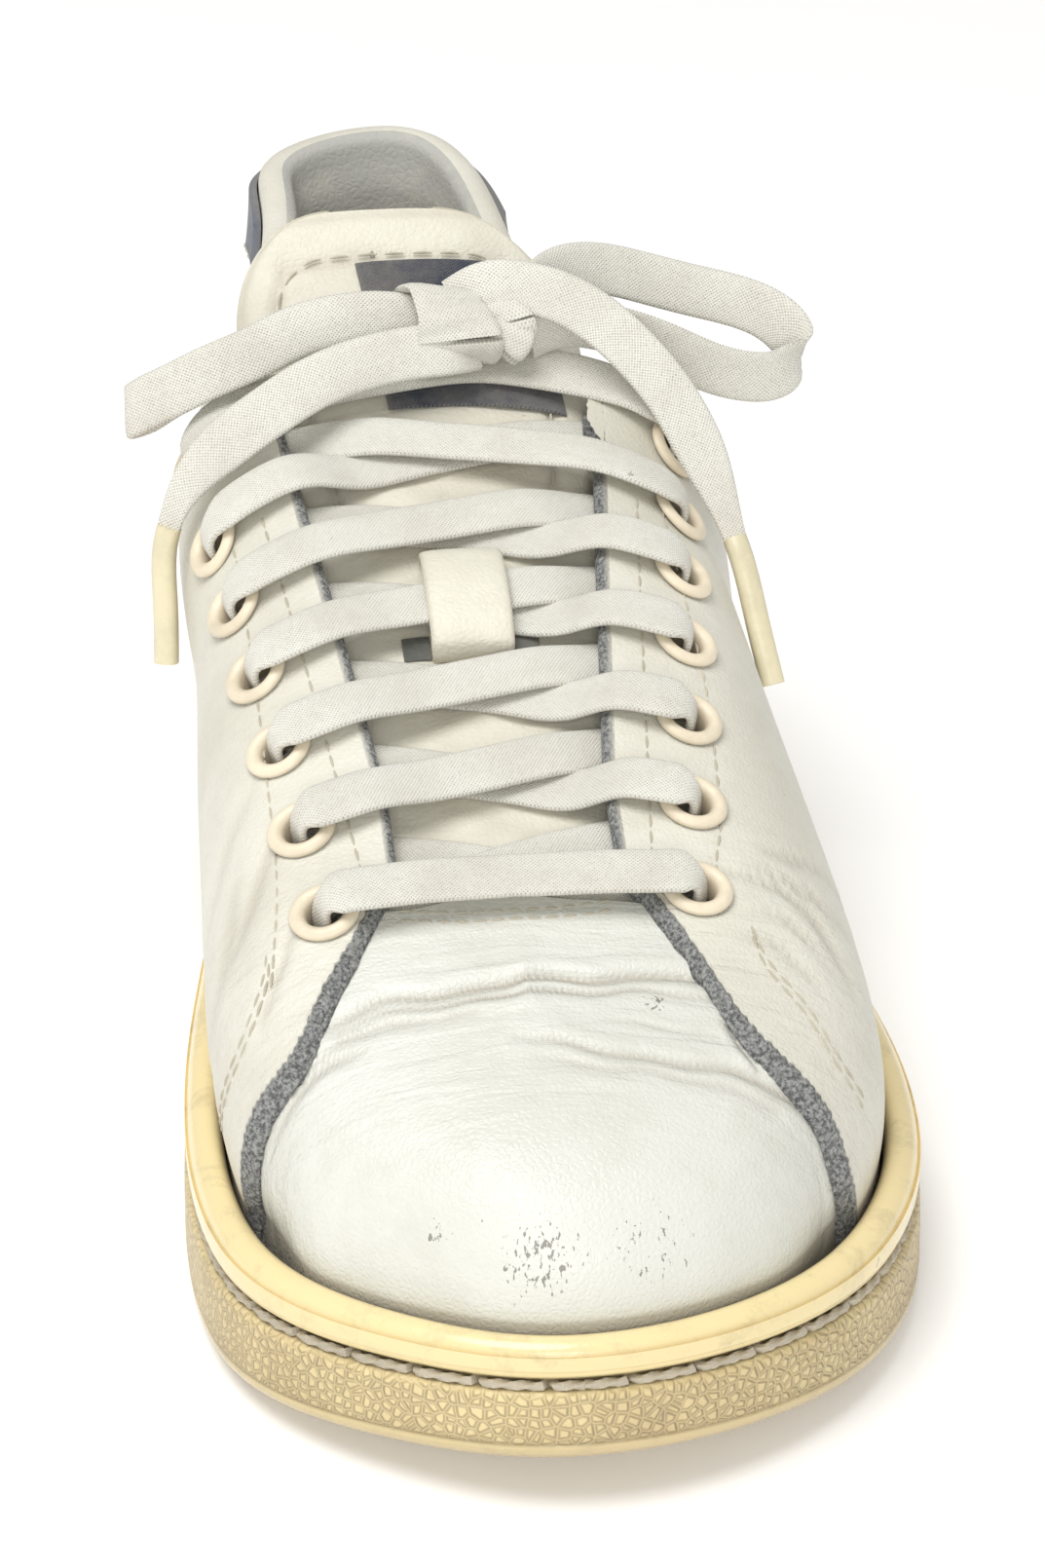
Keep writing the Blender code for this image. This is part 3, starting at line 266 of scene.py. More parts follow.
# Each lace strip from its eyelet to the far side: rows forward, share of the eyelet's distance from
# the middle, height over the last. The first crossing strip lies over the second one
STRIP_LIFT = 0.0058
CROSS_OVER = (
    (0.06, -0.84, STRIP_LIFT), (0.16, -0.66, 0.0050), (0.30, -0.40, 0.0026), (0.42, -0.14, 0.0013),
    (0.54, 0.12, 0.0008), (0.65, 0.34, 0.0002), (0.77, 0.60, -0.0013), (0.85, 0.80, -0.0016),
)
CROSS_UNDER = (
    (0.06, -0.84, STRIP_LIFT), (0.15, -0.66, 0.0047), (0.27, -0.42, -0.0004), (0.42, -0.14, -0.0016),
    (0.54, 0.12, -0.0018), (0.66, 0.38, -0.0018), (0.78, 0.64, -0.0017), (0.85, 0.80, -0.0016),
)
BAR_ROUTE = (
    (0.04, -0.80, STRIP_LIFT), (0.07, -0.55, 0.0053), (0.08, 0.00, 0.0048), (0.07, 0.55, 0.0053),
    (0.04, 0.80, STRIP_LIFT),
)
UNSEEN_ROUTE = (
    (0.00, -1.02, -0.0032), (0.05, -0.84, -0.0019), (0.20, -0.60, -0.0018), (0.40, -0.20, -0.0010),
    (0.60, 0.20, -0.0010), (0.78, 0.60, -0.0018), (0.90, 0.88, -0.0019),
)

# The lace strip between the top eyelets, over the tongue and under the knot: share of the way
# across, then metres toward the heel and up from the line between the two ends
RISER_ROUTE = (
    (0.000, 0.0000, 0.0000),
    (0.064, 0.0014, 0.0062),
    (0.144, 0.0031, 0.0082),
    (0.214, 0.0044, 0.0087),
    (0.327, 0.0063, 0.0096),
    (0.453, 0.0081, 0.0104),
    (0.591, 0.0093, 0.0107),
    (0.717, 0.0082, 0.0097),
    (0.830, 0.0061, 0.0082),
    (0.900, 0.0041, 0.0066),
    (0.956, 0.0022, 0.0039),
    (1.000, 0.0000, 0.0000),
)
RISER_LEAN = -0.52

# Routes of the bow, in metres from the middle between the top eyelets: x, toward the toe, up
LEFT_LOOP_ROUTE = (
    (-0.0004, -0.0077, 0.0180),
    (-0.0058, -0.0080, 0.0192),
    (-0.0128, -0.0074, 0.0196),
    (-0.0208, -0.0062, 0.0184),
    (-0.0278, -0.0046, 0.0158),
    (-0.0348, -0.0039, 0.0132),
    (-0.0408, -0.0041, 0.0103),
    (-0.0454, -0.0048, 0.0079),
    (-0.0471, -0.0062, 0.0062),
    (-0.0454, -0.0080, 0.0058),
    (-0.0408, -0.0080, 0.0084),
    (-0.0348, -0.0077, 0.0115),
    (-0.0278, -0.0084, 0.0141),
    (-0.0208, -0.0100, 0.0166),
    (-0.0128, -0.0111, 0.0178),
    (-0.0058, -0.0115, 0.0174),
    (-0.0004, -0.0113, 0.0166),
)
RIGHT_LOOP_ROUTE = (
    (0.0158, -0.0112, 0.0187),
    (0.0182, -0.0152, 0.0203),
    (0.0222, -0.0196, 0.0209),
    (0.0282, -0.0234, 0.0197),
    (0.0362, -0.0254, 0.0169),
    (0.0452, -0.0256, 0.0140),
    (0.0532, -0.0244, 0.0117),
    (0.0585, -0.0216, 0.0089),
    (0.0600, -0.0184, 0.0059),
    (0.0575, -0.0158, 0.0039),
    (0.0517, -0.0142, 0.0039),
    (0.0447, -0.0134, 0.0063),
    (0.0372, -0.0126, 0.0105),
    (0.0292, -0.0116, 0.0143),
    (0.0212, -0.0096, 0.0160),
    (0.0158, -0.0076, 0.0147),
)
LEFT_END_ROUTE = (
    (0.0037, -0.0034, 0.0157),
    (-0.0028, -0.0018, 0.0159),
    (-0.0098, -0.0005, 0.0153),
    (-0.0178, 0.0020, 0.0137),
    (-0.0258, 0.0055, 0.0105),
    (-0.0328, 0.0083, 0.0067),
    (-0.0380, 0.0092, 0.0019),
    (-0.0412, 0.0092, -0.0037),
    (-0.0426, 0.0092, -0.0082),
)
LEFT_AGLET_ROUTE = ((-0.0427, 0.0093, -0.0087), (-0.0432, 0.0108, -0.0187), (-0.0434, 0.0126, -0.0281))
RIGHT_END_ROUTE = (
    (0.0092, -0.0094, 0.0230),
    (0.0152, -0.0090, 0.0229),
    (0.0212, -0.0074, 0.0214),
    (0.0272, -0.0049, 0.0180),
    (0.0322, -0.0019, 0.0135),
    (0.0366, 0.0015, 0.0084),
    (0.0404, 0.0057, 0.0020),
    (0.0434, 0.0117, -0.0053),
    (0.0454, 0.0177, -0.0115),
)
RIGHT_AGLET_ROUTE = ((0.0456, 0.0182, -0.0120), (0.0476, 0.0224, -0.0209), (0.0496, 0.0272, -0.0303))

# %% a smooth curve through a table
def smooth_curve(knots, values, period=0.0):
    """A function through the values at the knots with no kink, closed on itself over a period."""
    knots = np.asarray(knots, float)
    values = np.asarray(values, float).reshape(len(knots), -1)
    if period:
        knots = np.append(knots, knots[0] + period)
        values = np.vstack([values, values[:1]])
    count = len(knots)
    step = np.diff(knots)
    slope = np.diff(values, axis=0) / step[:, None]
    system = np.zeros((count, count))
    right = np.zeros(values.shape)
    for i in range(1, count - 1):
        system[i, i - 1 : i + 2] = step[i], 2 * (step[i - 1] + step[i]), step[i - 1]
        right[i] = 3 * (step[i] * slope[i - 1] + step[i - 1] * slope[i])
    if period:
        system[0, [0, 1, -2]] = 2 * (step[-1] + step[0]), step[-1], step[0]
        right[0] = 3 * (step[0] * slope[-1] + step[-1] * slope[0])
        system[-1, [0, -1]] = 1, -1
    else:
        system[0, [0, 1]] = 2, 1
        right[0] = 3 * slope[0]
        system[-1, [-1, -2]] = 2, 1
        right[-1] = 3 * slope[-1]
    tangent = np.linalg.solve(system, right)

    def at(place):
        place = np.asarray(place, float)
        if period:
            place = knots[0] + (place - knots[0]) % period
        place = np.clip(place, knots[0], knots[-1])
        i = np.clip(np.searchsorted(knots, place, side="right") - 1, 0, count - 2)
        t = ((place - knots[i]) / step[i])[..., None]
        width = step[i][..., None]
        low = values[i] * (1 + 2 * t) * (1 - t) ** 2 + width * tangent[i] * t * (1 - t) ** 2
        high = values[i + 1] * t**2 * (3 - 2 * t) + width * tangent[i + 1] * t**2 * (t - 1)
        return low + high

    return at


def smoothed(rows, count):
    """That many rows along the smooth curve through the rows of a table."""
    return smooth_curve(np.arange(len(rows)), rows)(np.linspace(0, len(rows) - 1, count))


def table_of(rows):
    """The first value of each row, and the others."""
    return [row[0] for row in rows], [row[1:] for row in rows]


def place_of(share):
    """The v of a share of the length, on the outer side."""
    return np.arccos(1 - 2 * np.clip(share, 0, 1)) / math.pi


def share_of(v):
    """The share of the length at v."""
    return (1 - np.cos(math.pi * np.asarray(v, float))) / 2


def two_sided(rows, inner, outer):
    """Rows for both sides of the shoe in order of v, from (share of the length, values)."""
    found = {}
    for share, row in rows:
        v = float(place_of(share))
        found[round(-v, 9)] = inner(row)
        found[round(v, 9)] = outer(row)
    found.pop(-1.0, None)
    knots = sorted(found)
    return knots, [found[k] for k in knots]


def ease(value, low, high):
    t = np.clip((np.asarray(value, float) - low) / (high - low), 0, 1)
    return t * t * (3 - 2 * t)

# %% outline and sections for both sides
def outline_rows():
    rows = [(0.0, (0.0, 0.0)), (1.0, (TIP_SHIFT * BALL_WIDTH,) * 2)]
    rows += [(share, (a * HEEL_WIDTH, b * HEEL_WIDTH)) for share, a, b in HEEL_ROWS]
    rows += [(share, (a * BALL_WIDTH, b * BALL_WIDTH)) for share, a, b in BALL_ROWS]
    return rows


def section_rows():
    """Top edge and side shape of the last, all in metres, for both sides."""
    rows = []
    for share, far, inner, outer, high, *shape in COLLAR_ROWS:
        top = (inner * BALL_WIDTH, outer * BALL_WIDTH, far * LENGTH, high * HEEL_HEIGHT)
        rows.append((share, (*top, *shape)))
    for share, far, inner, outer, high, *shape in SWING_ROWS:
        top = (inner * BALL_WIDTH, outer * BALL_WIDTH, far * LENGTH, high * INSTEP_HEIGHT)
        rows.append((share, (*top, *shape)))
    for share, far, high, *shape in RIDGE_ROWS:
        top = (THROAT_SHIFT, THROAT_SHIFT, far * LENGTH, high * INSTEP_HEIGHT)
        rows.append((share, (*top, *shape)))
    return rows


def side_of(index):
    """Picks one side's values from a section row: x of the top edge, its belly and shoulder."""

    def pick(row):
        x_inner, x_outer, far, high, rise, *rest = row
        belly = rest[index] * BALL_WIDTH
        shoulder = rest[2 + index] * BALL_WIDTH
        return ((x_inner, x_outer)[index], far, high, rise, belly, shoulder, rest[4])

    return pick


OUTLINE = smooth_curve(*two_sided(outline_rows(), lambda r: r[0], lambda r: r[1]), period=2.0)
SECTION = smooth_curve(*two_sided(section_rows(), side_of(0), side_of(1)), period=2.0)
RIM_SIZES = {"heel": RIM_HEEL, "ball": RIM_BALL, "toe": RIM_TOE}
RIM = smooth_curve([r[0] for r in RIM_ROWS], [RIM_SIZES[r[1]] * r[2] for r in RIM_ROWS])
TONGUE_PATH = smooth_curve(*table_of(TONGUE_LINE))
print("the outline has", len(two_sided(outline_rows(), min, max)[0]), "places")

# %% heights of tread, rim and cup floor
def ground(share):
    """Height of the tread: flat under heel and ball, with arch and toe spring."""
    share = np.asarray(share, float)
    up, over, down, end = ARCH_SPAN
    arch = ARCH_RISE * ease(share, up, over) * (1 - ease(share, down, end))
    toe = TOE_SPRING * np.clip((share - SPRING_START) / (1 - SPRING_START), 0, 1) ** 2
    return arch + toe


def rim_height(share):
    return ground(share) + RIM(share)[..., 0]


def floor_height(share):
    """Height of the floor of the cup."""
    depth = FLOOR_TOE + (FLOOR_HEEL - FLOOR_TOE) * (1 - ease(share, *FLOOR_SPAN))
    return np.maximum(ground(share), 0.35 * TOE_SPRING * ease(share, SPRING_START, 1.0)) + depth


def outline(v, out=0.0):
    """Points of the sole's outline in plan, moved outward by out; x, and length from the heel."""
    v = np.asarray(v, float)
    here = np.stack([OUTLINE(v)[..., 0], share_of(v) * LENGTH], axis=-1)
    small = 1e-3
    ahead = np.stack([OUTLINE(v + small)[..., 0], share_of(v + small) * LENGTH], axis=-1)
    behind = np.stack([OUTLINE(v - small)[..., 0], share_of(v - small) * LENGTH], axis=-1)
    along = ahead - behind
    along /= np.linalg.norm(along, axis=-1, keepdims=True)
    normal = np.stack([along[..., 1], -along[..., 0]], axis=-1)
    return here + normal * np.asarray(out, float)[..., None], normal

# %% points of the last and its normals
def feather_inset(v):
    """How far the last lies inside the outline at the rim: the quarters need more room."""
    share = share_of(v)
    outer = (np.asarray(v, float) + 1) % 2 > 1
    start = np.where(outer, COVER_START[1], COVER_START[0])
    fade = ease((share - start) / COVER_FADE, 0.0, 1.0)
    cover = VAMP_OUT + (QUARTER_OUT - VAMP_OUT) * (1 - fade)
    return RIM_WALL + GAP + cover


def guides(v):
    """The four control points of the side of the last at v, as x, length from the heel, height."""
    v = np.asarray(v, float)
    x, far, high, rise, belly, shoulder, drop = np.moveaxis(SECTION(v), -1, 0)
    share = share_of(v)
    foot, normal = outline(v, -feather_inset(v))
    low = rim_height(share) - FOOT_DEPTH
    p0 = np.concatenate([foot, low[..., None]], axis=-1)
    p3 = np.stack([x, far, high], axis=-1)
    p1 = p0.copy()
    p1[..., :2] += normal * belly[..., None]
    p1[..., 2] += rise * (high - low)
    p2 = p3.copy()
    p2[..., :2] += normal * shoulder[..., None]
    p2[..., 2] -= drop * (high - low) + RIDGE_SLOPE * (p2 - p3)[..., 1]
    return p0, p1, p2, p3


def along_side(points, s):
    """Places up the side, from its four control points."""
    p0, p1, p2, p3 = points
    t = np.asarray(s, float)[..., None]
    return p0 * (1 - t) ** 3 + 3 * p1 * t * (1 - t) ** 2 + 3 * p2 * t**2 * (1 - t) + p3 * t**3


def world(point):
    """World axes from x, length from the heel, height."""
    moved = np.array(point, float)
    moved[..., 1] = HEEL_CENTRE - moved[..., 1]
    return moved


def last(v, s):
    """Points of the last in metres, world axes, at arrays v and s."""
    v, s = np.broadcast_arrays(np.asarray(v, float), np.asarray(s, float))
    return world(along_side(guides(v), s))


def last_normal(v, s):
    """Outward normals of the last; the ridge's own line takes the normal just below it."""
    v, s = np.broadcast_arrays(np.asarray(v, float), np.asarray(s, float))
    s = np.clip(s, 0.0, 0.985)
    small = 2e-3
    along = last(v + small, s) - last(v - small, s)
    up = last(v, s + small) - last(v, s - small)
    normal = np.cross(along, up)
    normal /= np.linalg.norm(normal, axis=-1, keepdims=True)
    return -normal


def skin(v, s, out):
    """Points at a distance out from the last."""
    return last(v, s) + last_normal(v, s) * np.asarray(out, float)[..., None]

# %% places by distance from the middle line
def throat_half(share):
    """Half the width of the throat at a share of the length."""
    front, back = THROAT_ENDS
    t = np.clip((front - share) / (front - back), 0, 1)
    return THROAT_FRONT + (THROAT_TOP - THROAT_FRONT) * t


def up_to(v, away):
    """The s above the widest place at which the side is a distance from the middle line."""
    v, away = np.broadcast_arrays(np.asarray(v, float), np.asarray(away, float))
    points = guides(v)

    def reach(s):
        return np.abs(along_side(points, s)[..., 0] - THROAT_SHIFT)

    steps = np.linspace(0, 1, 21)
    low = steps[np.argmax([reach(np.full(v.shape, s)) for s in steps], axis=0)]
    high = np.ones(v.shape)
    for _ in range(16):
        middle = (low + high) / 2
        outside = reach(middle) > away
        low = np.where(outside, middle, low)
        high = np.where(outside, high, middle)
    return (low + high) / 2


def place_at(share, away):
    """The (v, s) of a true share of the length and a signed distance from the middle line."""
    share, away = np.broadcast_arrays(np.asarray(share, float), np.asarray(away, float))
    side = np.where(away >= 0, 1.0, -1.0)
    station = share.copy()
    for _ in range(7):
        v = side * place_of(station)
        s = up_to(v, np.abs(away))
        found = (HEEL_CENTRE - last(v, s)[..., 1]) / LENGTH
        station = np.clip(station + share - found, 0.0, 1.0)
    v = side * place_of(station)
    return v, up_to(v, np.abs(away))


def top_share(v):
    """The s of the quarters' top edge: the collar's edge, or the edge of the throat."""
    share = share_of(v)
    edge = up_to(v, throat_half(share))
    return np.where(share < COLLAR_END, 1.0, np.minimum(edge, 1.0))


def row_share(row):
    """Share of the length at an eyelet row, the first row in front."""
    return ROW_FIRST - (row - 1) * ROW_PITCH / LENGTH


def row_away(row):
    """Distance of an eyelet from the throat's middle line."""
    return throat_half(row_share(row)) + ROW_INSET


def frame_at(row, side):
    """Middle of an eyelet on the leather, with its axis."""
    v, s = place_at(row_share(row), side * row_away(row))
    return skin(v, s, np.array(QUARTER_OUT)), last_normal(v, s)


print("top eyelet at", [round(float(c), 4) for c in frame_at(ROWS, 1.0)[0]])

# %% [markdown]
# ## Meshes from grids
# Nearly every piece is a grid of points bent over the last. One helper closes a ring of rows into a
# tube or shell, keeps extra values for the shader (such as the distance from a cut edge) as mesh
# attributes, and puts the piece on the shoe.

# %% mesh helpers
SKIN_TURN = math.radians(50)


def add_piece(name, verts, faces, materials, values=None, picks=None, slot=None, replaced=()):
    """A smooth mesh that rides on the shoe; values are numbers per point for the shader."""
    mesh = bpy.data.meshes.new(name)
    verts = np.asarray(verts, float)
    mesh.from_pydata(verts.tolist(), [], [tuple(int(i) for i in f) for f in faces])
    for key, numbers in (values or {}).items():
        layer = mesh.attributes.new(key, "FLOAT", "POINT")
        layer.data.foreach_set("value", np.asarray(numbers, np.float32).ravel())
    for finish in materials:
        mesh.materials.append(finish)
    if picks is not None:
        mesh.polygons.foreach_set("material_index", np.asarray(picks, np.int32))
    bm = bmesh.new()
    bm.from_mesh(mesh)
    bmesh.ops.recalc_face_normals(bm, faces=bm.faces)
    bm.to_mesh(mesh)
    bm.free()
    mesh.shade_smooth()
    mesh.set_sharp_from_angle(angle=SKIN_TURN)
    piece = bpy.data.objects.new(name, mesh)
    bpy.context.scene.collection.objects.link(piece)
    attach(piece, "root")
    if replaced:
        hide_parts(*replaced)
    return piece


def grid_faces(columns, rows):
    """Quads of a grid whose points run row by row within each column."""
    return [(at, at + rows, at + rows + 1, at + 1)
            for c in range(columns - 1) for at in range(c * rows, (c + 1) * rows - 1)]


def ring_faces(columns, size, start=0):
    """Quads between closed rings of points, one ring after the other."""
    faces = []
    for here in range(start, start + (columns - 1) * size, size):
        there = here + size
        faces += [(here + r, there + r, there + (r + 1) % size, here + (r + 1) % size)
                  for r in range(size)]
    return faces


def tube(points, start=0):
    """Corners and faces of a closed tube through rings of points."""
    count, size = points.shape[:2]
    end = start + count * size - 1
    faces = ring_faces(count, size, start)
    faces += [tuple(range(start, start + size)), tuple(range(end, end - size, -1))]
    return points.reshape(-1, 3), faces


def rings_round(line, side, up, radius, sides):
    """Rings of points round a line, with a radius for each ring or for each point."""
    turn = np.linspace(0, 2 * math.pi, sides, endpoint=False)[None, :, None]
    return line[:, None] + radius[..., None] * (np.cos(turn) * side[:, None] + np.sin(turn) * up[:, None])


def unit(vectors):
    return vectors / np.maximum(np.linalg.norm(vectors, axis=-1, keepdims=True), 1e-12)


def along_line(points):
    """Distance run along a line of points."""
    steps = np.linalg.norm(np.diff(points, axis=0), axis=1)
    return np.concatenate([[0.0], np.cumsum(steps)])


def read_at(at, run, rows):
    """Rows of values read at places along a line."""
    return np.column_stack([np.interp(at, run, column) for column in np.asarray(rows).T])


def spaced(points, step, *others):
    """The same line with points at an even step, and other rows of values read at them."""
    run = along_line(points)
    count = max(2, int(round(run[-1] / step)) + 1)
    at = np.linspace(0, run[-1], count)
    return [read_at(at, run, row) for row in (points, *others)]


# %% [markdown]
# ## Shader groups
# The same few effects come back on leather, rubber and cloth: fine grain, patches of dirt, specks
# and scuffs, and a tint along an edge. Each is built once as a node group with named inputs and
# outputs, and every material sets its own values.

# %% building groups and materials
SOCKETS = {1: "NodeSocketFloat", 3: "NodeSocketVector", 4: "NodeSocketColor"}


def new_group(name, outputs, **inputs):
    """An empty node group: its tree, the sockets that bring its inputs, and those of its results."""
    group = bpy.data.node_groups.new(name, "ShaderNodeTree")
    for key, default in inputs.items():
        made = group.interface.new_socket(key.replace("_", " "), in_out="INPUT",
                                          socket_type=SOCKETS[np.size(default)])
        made.default_value = default
    for key in outputs:
        kind = SOCKETS[4 if key == "Colour" else 1]
        group.interface.new_socket(key, in_out="OUTPUT", socket_type=kind)
    return group, group.nodes.new("NodeGroupInput").outputs, group.nodes.new("NodeGroupOutput").inputs


def feed(tree, socket, value):
    """Links a socket to another one's output, or sets its value."""
    if isinstance(value, bpy.types.NodeSocket):
        tree.links.new(value, socket)
    else:
        socket.default_value = value


def node(tree, kind, inputs=None, **settings):
    """A node with its settings, and its inputs as values or as links."""
    made = tree.nodes.new(kind)
    for key, value in settings.items():
        setattr(made, key, value)
    for key, value in (inputs or {}).items():
        feed(tree, made.inputs[key], value)
    return made


def put(tree, group, **inputs):
    """A group placed in a material with its own values."""
    made = node(tree, "ShaderNodeGroup", node_tree=group)
    for key, value in inputs.items():
        feed(tree, made.inputs[key.replace("_", " ")], value)
    return made.outputs


def math_node(tree, operation, a, b=0.0, c=0.0, clamp=False):
    made = node(tree, "ShaderNodeMath", {0: a, 1: b, 2: c}, operation=operation, use_clamp=clamp)
    return made.outputs[0]


def vector_node(tree, operation, a, b):
    made = node(tree, "ShaderNodeVectorMath", {0: a, 1: b}, operation=operation)
    return made.outputs["Value" if operation == "DISTANCE" else "Vector"]


def ramp(tree, value, low, high, to=(0.0, 1.0), curve="SMOOTHSTEP"):
    """0 at low and 1 at high, or two other values, smooth or straight between."""
    made = node(tree, "ShaderNodeMapRange", {"Value": value, "From Min": low, "From Max": high,
                "To Min": to[0], "To Max": to[1]}, interpolation_type=curve)
    return made.outputs["Result"]


def mix_colour(tree, share, a, b):
    return node(tree, "ShaderNodeMix", {0: share, 6: a, 7: b}, data_type="RGBA").outputs[2]


def noise(tree, place, scale, detail=3.0, roughness=0.55, distortion=0.0):
    made = node(tree, "ShaderNodeTexNoise", {"Vector": place, "Scale": scale, "Detail": detail,
                "Roughness": roughness, "Distortion": distortion})
    return made.outputs["Fac"]


def value_of(tree, name):
    """A number that the mesh carries at each point."""
    return node(tree, "ShaderNodeAttribute", attribute_name=name).outputs["Fac"]


def finish_of(name, roughness, slot_colour):
    """A material with its Principled shader and a place to read its pattern from."""
    made = bpy.data.materials.new(name)
    made.use_nodes = True
    tree = made.node_tree
    shader = tree.nodes["Principled BSDF"]
    shader.inputs["Roughness"].default_value = roughness
    shader.inputs["Base Color"].default_value = (*slot_colour, 1)
    return made, tree, shader, node(tree, "ShaderNodeTexCoord").outputs["Object"]


def bump(tree, shader, height, depth, after=None):
    """Feeds a height of that many metres to the shader's normal."""
    made = node(tree, "ShaderNodeBump", {"Strength": 1.0, "Distance": depth, "Height": height})
    if after is not None:
        tree.links.new(after, made.inputs["Normal"])
    tree.links.new(made.outputs["Normal"], shader.inputs["Normal"])
    return made.outputs["Normal"]


# %% grain, dirt and specks
def build_grain():
    """Leather grain: small cells with fine pores and soft cloudy waves."""
    tree, given, result = new_group("leather_grain", ("Height", "Cloud"), Place=(0, 0, 0), Cell_Size=0.0009)
    scale = math_node(tree, "DIVIDE", 1.0, given["Cell Size"])
    cells = node(tree, "ShaderNodeTexVoronoi", {"Vector": given["Place"], "Scale": scale},
                 feature="DISTANCE_TO_EDGE")
    fine = noise(tree, given["Place"], math_node(tree, "MULTIPLY", scale, 0.6), 5.0, 0.6)
    groove = ramp(tree, cells.outputs["Distance"], 0.0, 0.30)
    feed(tree, result["Height"], math_node(tree, "MULTIPLY_ADD", groove, 0.45, fine))
    feed(tree, result["Cloud"], noise(tree, given["Place"], 28.0, 3.0, 0.5))
    return tree


def build_dirt():
    """Soft patches of dirt, with a fine broken edge."""
    tree, given, result = new_group("dirt_patches", ("Mask",), Place=(0, 0, 0), Scale=30.0, Cover=0.4)
    large = noise(tree, given["Place"], given["Scale"], 4.0, 0.6, 0.3)
    small = noise(tree, given["Place"], math_node(tree, "MULTIPLY", given["Scale"], 9.0), 4.0, 0.7)
    both = math_node(tree, "MULTIPLY_ADD", small, 0.35, large)
    low = math_node(tree, "SUBTRACT", 1.02, given["Cover"])
    feed(tree, result["Mask"], ramp(tree, both, low, math_node(tree, "ADD", low, 0.32), curve="LINEAR"))
    return tree


def build_specks():
    """Small dark marks: a few cells of a fine pattern, each with its own chance."""
    tree, given, result = new_group("specks", ("Mask",), Place=(0, 0, 0), Size=0.003, Share=0.05)
    shake = math_node(tree, "MULTIPLY", noise(tree, given["Place"], 1500.0, 3.0), 0.0022)
    pushed = vector_node(tree, "ADD", vector_node(tree, "ADD", given["Place"], (1, 1, 1)), shake)
    cells = node(tree, "ShaderNodeTexVoronoi", {"Vector": pushed, "Scale":
                 math_node(tree, "DIVIDE", 1.0, given["Size"])}, feature="F1")
    chance = node(tree, "ShaderNodeSeparateColor", {"Color": cells.outputs["Color"]})
    keep = math_node(tree, "LESS_THAN", chance.outputs[0], given["Share"])
    size = math_node(tree, "MULTIPLY", chance.outputs[1], 0.17)
    inside = math_node(tree, "LESS_THAN", cells.outputs["Distance"], size)
    feed(tree, result["Mask"], math_node(tree, "MULTIPLY", keep, inside))
    return tree


def build_tint():
    """Adds a colour where a mask is, by an amount."""
    tree, given, result = new_group("tint", ("Colour",), Colour=(1, 1, 1, 1), Stain=(0, 0, 0, 1),
                                    Mask=0.0, Amount=1.0)
    share = math_node(tree, "MULTIPLY", given["Mask"], given["Amount"], clamp=True)
    feed(tree, result["Colour"], mix_colour(tree, share, given["Colour"], given["Stain"]))
    return tree


def build_scuff():
    """Broken dark scratches in a round patch, drawn out along one direction."""
    tree, given, result = new_group("scuff", ("Mask",), Place=(0, 0, 0), Centre=(0, 0, 0), Radius=0.006,
                                    Share=0.3)
    gap = vector_node(tree, "DISTANCE", given["Place"], given["Centre"])
    far = ramp(tree, math_node(tree, "DIVIDE", gap, given["Radius"]), 0.2, 1.0)
    near = math_node(tree, "SUBTRACT", 1.0, far)
    drawn = vector_node(tree, "MULTIPLY", given["Place"], (1.0, 0.8, 0.35))
    low = math_node(tree, "SUBTRACT", 0.72, math_node(tree, "MULTIPLY", given["Share"], near))
    over = math_node(tree, "GREATER_THAN", noise(tree, drawn, 1700.0, 3.0, 0.55), low)
    feed(tree, result["Mask"], math_node(tree, "MULTIPLY", over, ramp(tree, near, 0.0, 0.2)))
    return tree


def build_wrinkles():
    """Fine wrinkles across the shoe, where it bends between two distances along it."""
    tree, given, result = new_group("wrinkles", ("Height", "Mask"), Place=(0, 0, 0), Back=-0.19, Front=-0.225)
    drawn = vector_node(tree, "MULTIPLY", given["Place"], (0.16, 1.0, 0.55))
    y = node(tree, "ShaderNodeSeparateXYZ", {"Vector": given["Place"]}).outputs["Y"]
    edge = math_node(tree, "ADD", given["Back"], 0.018)
    toe = math_node(tree, "SUBTRACT", given["Front"], 0.014)
    mask = math_node(tree, "MULTIPLY", ramp(tree, y, edge, given["Back"], curve="LINEAR"),
                     ramp(tree, y, toe, given["Front"], curve="LINEAR"))
    lines = noise(tree, drawn, 330.0, 3.0, 0.55, 0.6)
    feed(tree, result["Height"], math_node(tree, "MULTIPLY", lines, mask))
    feed(tree, result["Mask"], mask)
    return tree


def build_weave():
    """A flat braid: threads that lean to both sides, over and under in turn."""
    tree, given, result = new_group("flat_braid", ("Height",), Along=0.0, Across=0.0, Thread=0.0008)
    along, across = (math_node(tree, "DIVIDE", given[key], given["Thread"]) for key in ("Along", "Across"))
    waves = []
    for way in ("ADD", "SUBTRACT"):
        turn = math_node(tree, "MULTIPLY", math_node(tree, way, along, across), math.pi)
        waves.append(math_node(tree, "ABSOLUTE", math_node(tree, "SINE", turn)))
    feed(tree, result["Height"], math_node(tree, "MAXIMUM", *waves))
    return tree


GRAIN = build_grain()
DIRT = build_dirt()
SPECKS = build_specks()
TINT = build_tint()
SCUFF = build_scuff()
WRINKLES = build_wrinkles()
WEAVE = build_weave()
print("shader groups:", [g.name for g in bpy.data.node_groups])


def mask_of(tree, group, place, **inputs):
    return put(tree, group, Place=place, **inputs)["Mask"]


def stained(tree, tone, *layers):
    """One tint after the other: the colour of each stain, the mask it lies in, and its amount."""
    for colour, mask, amount in layers:
        tone = put(tree, TINT, Colour=tone, Stain=(*colour, 1), Mask=mask, Amount=amount)["Colour"]
    return tone

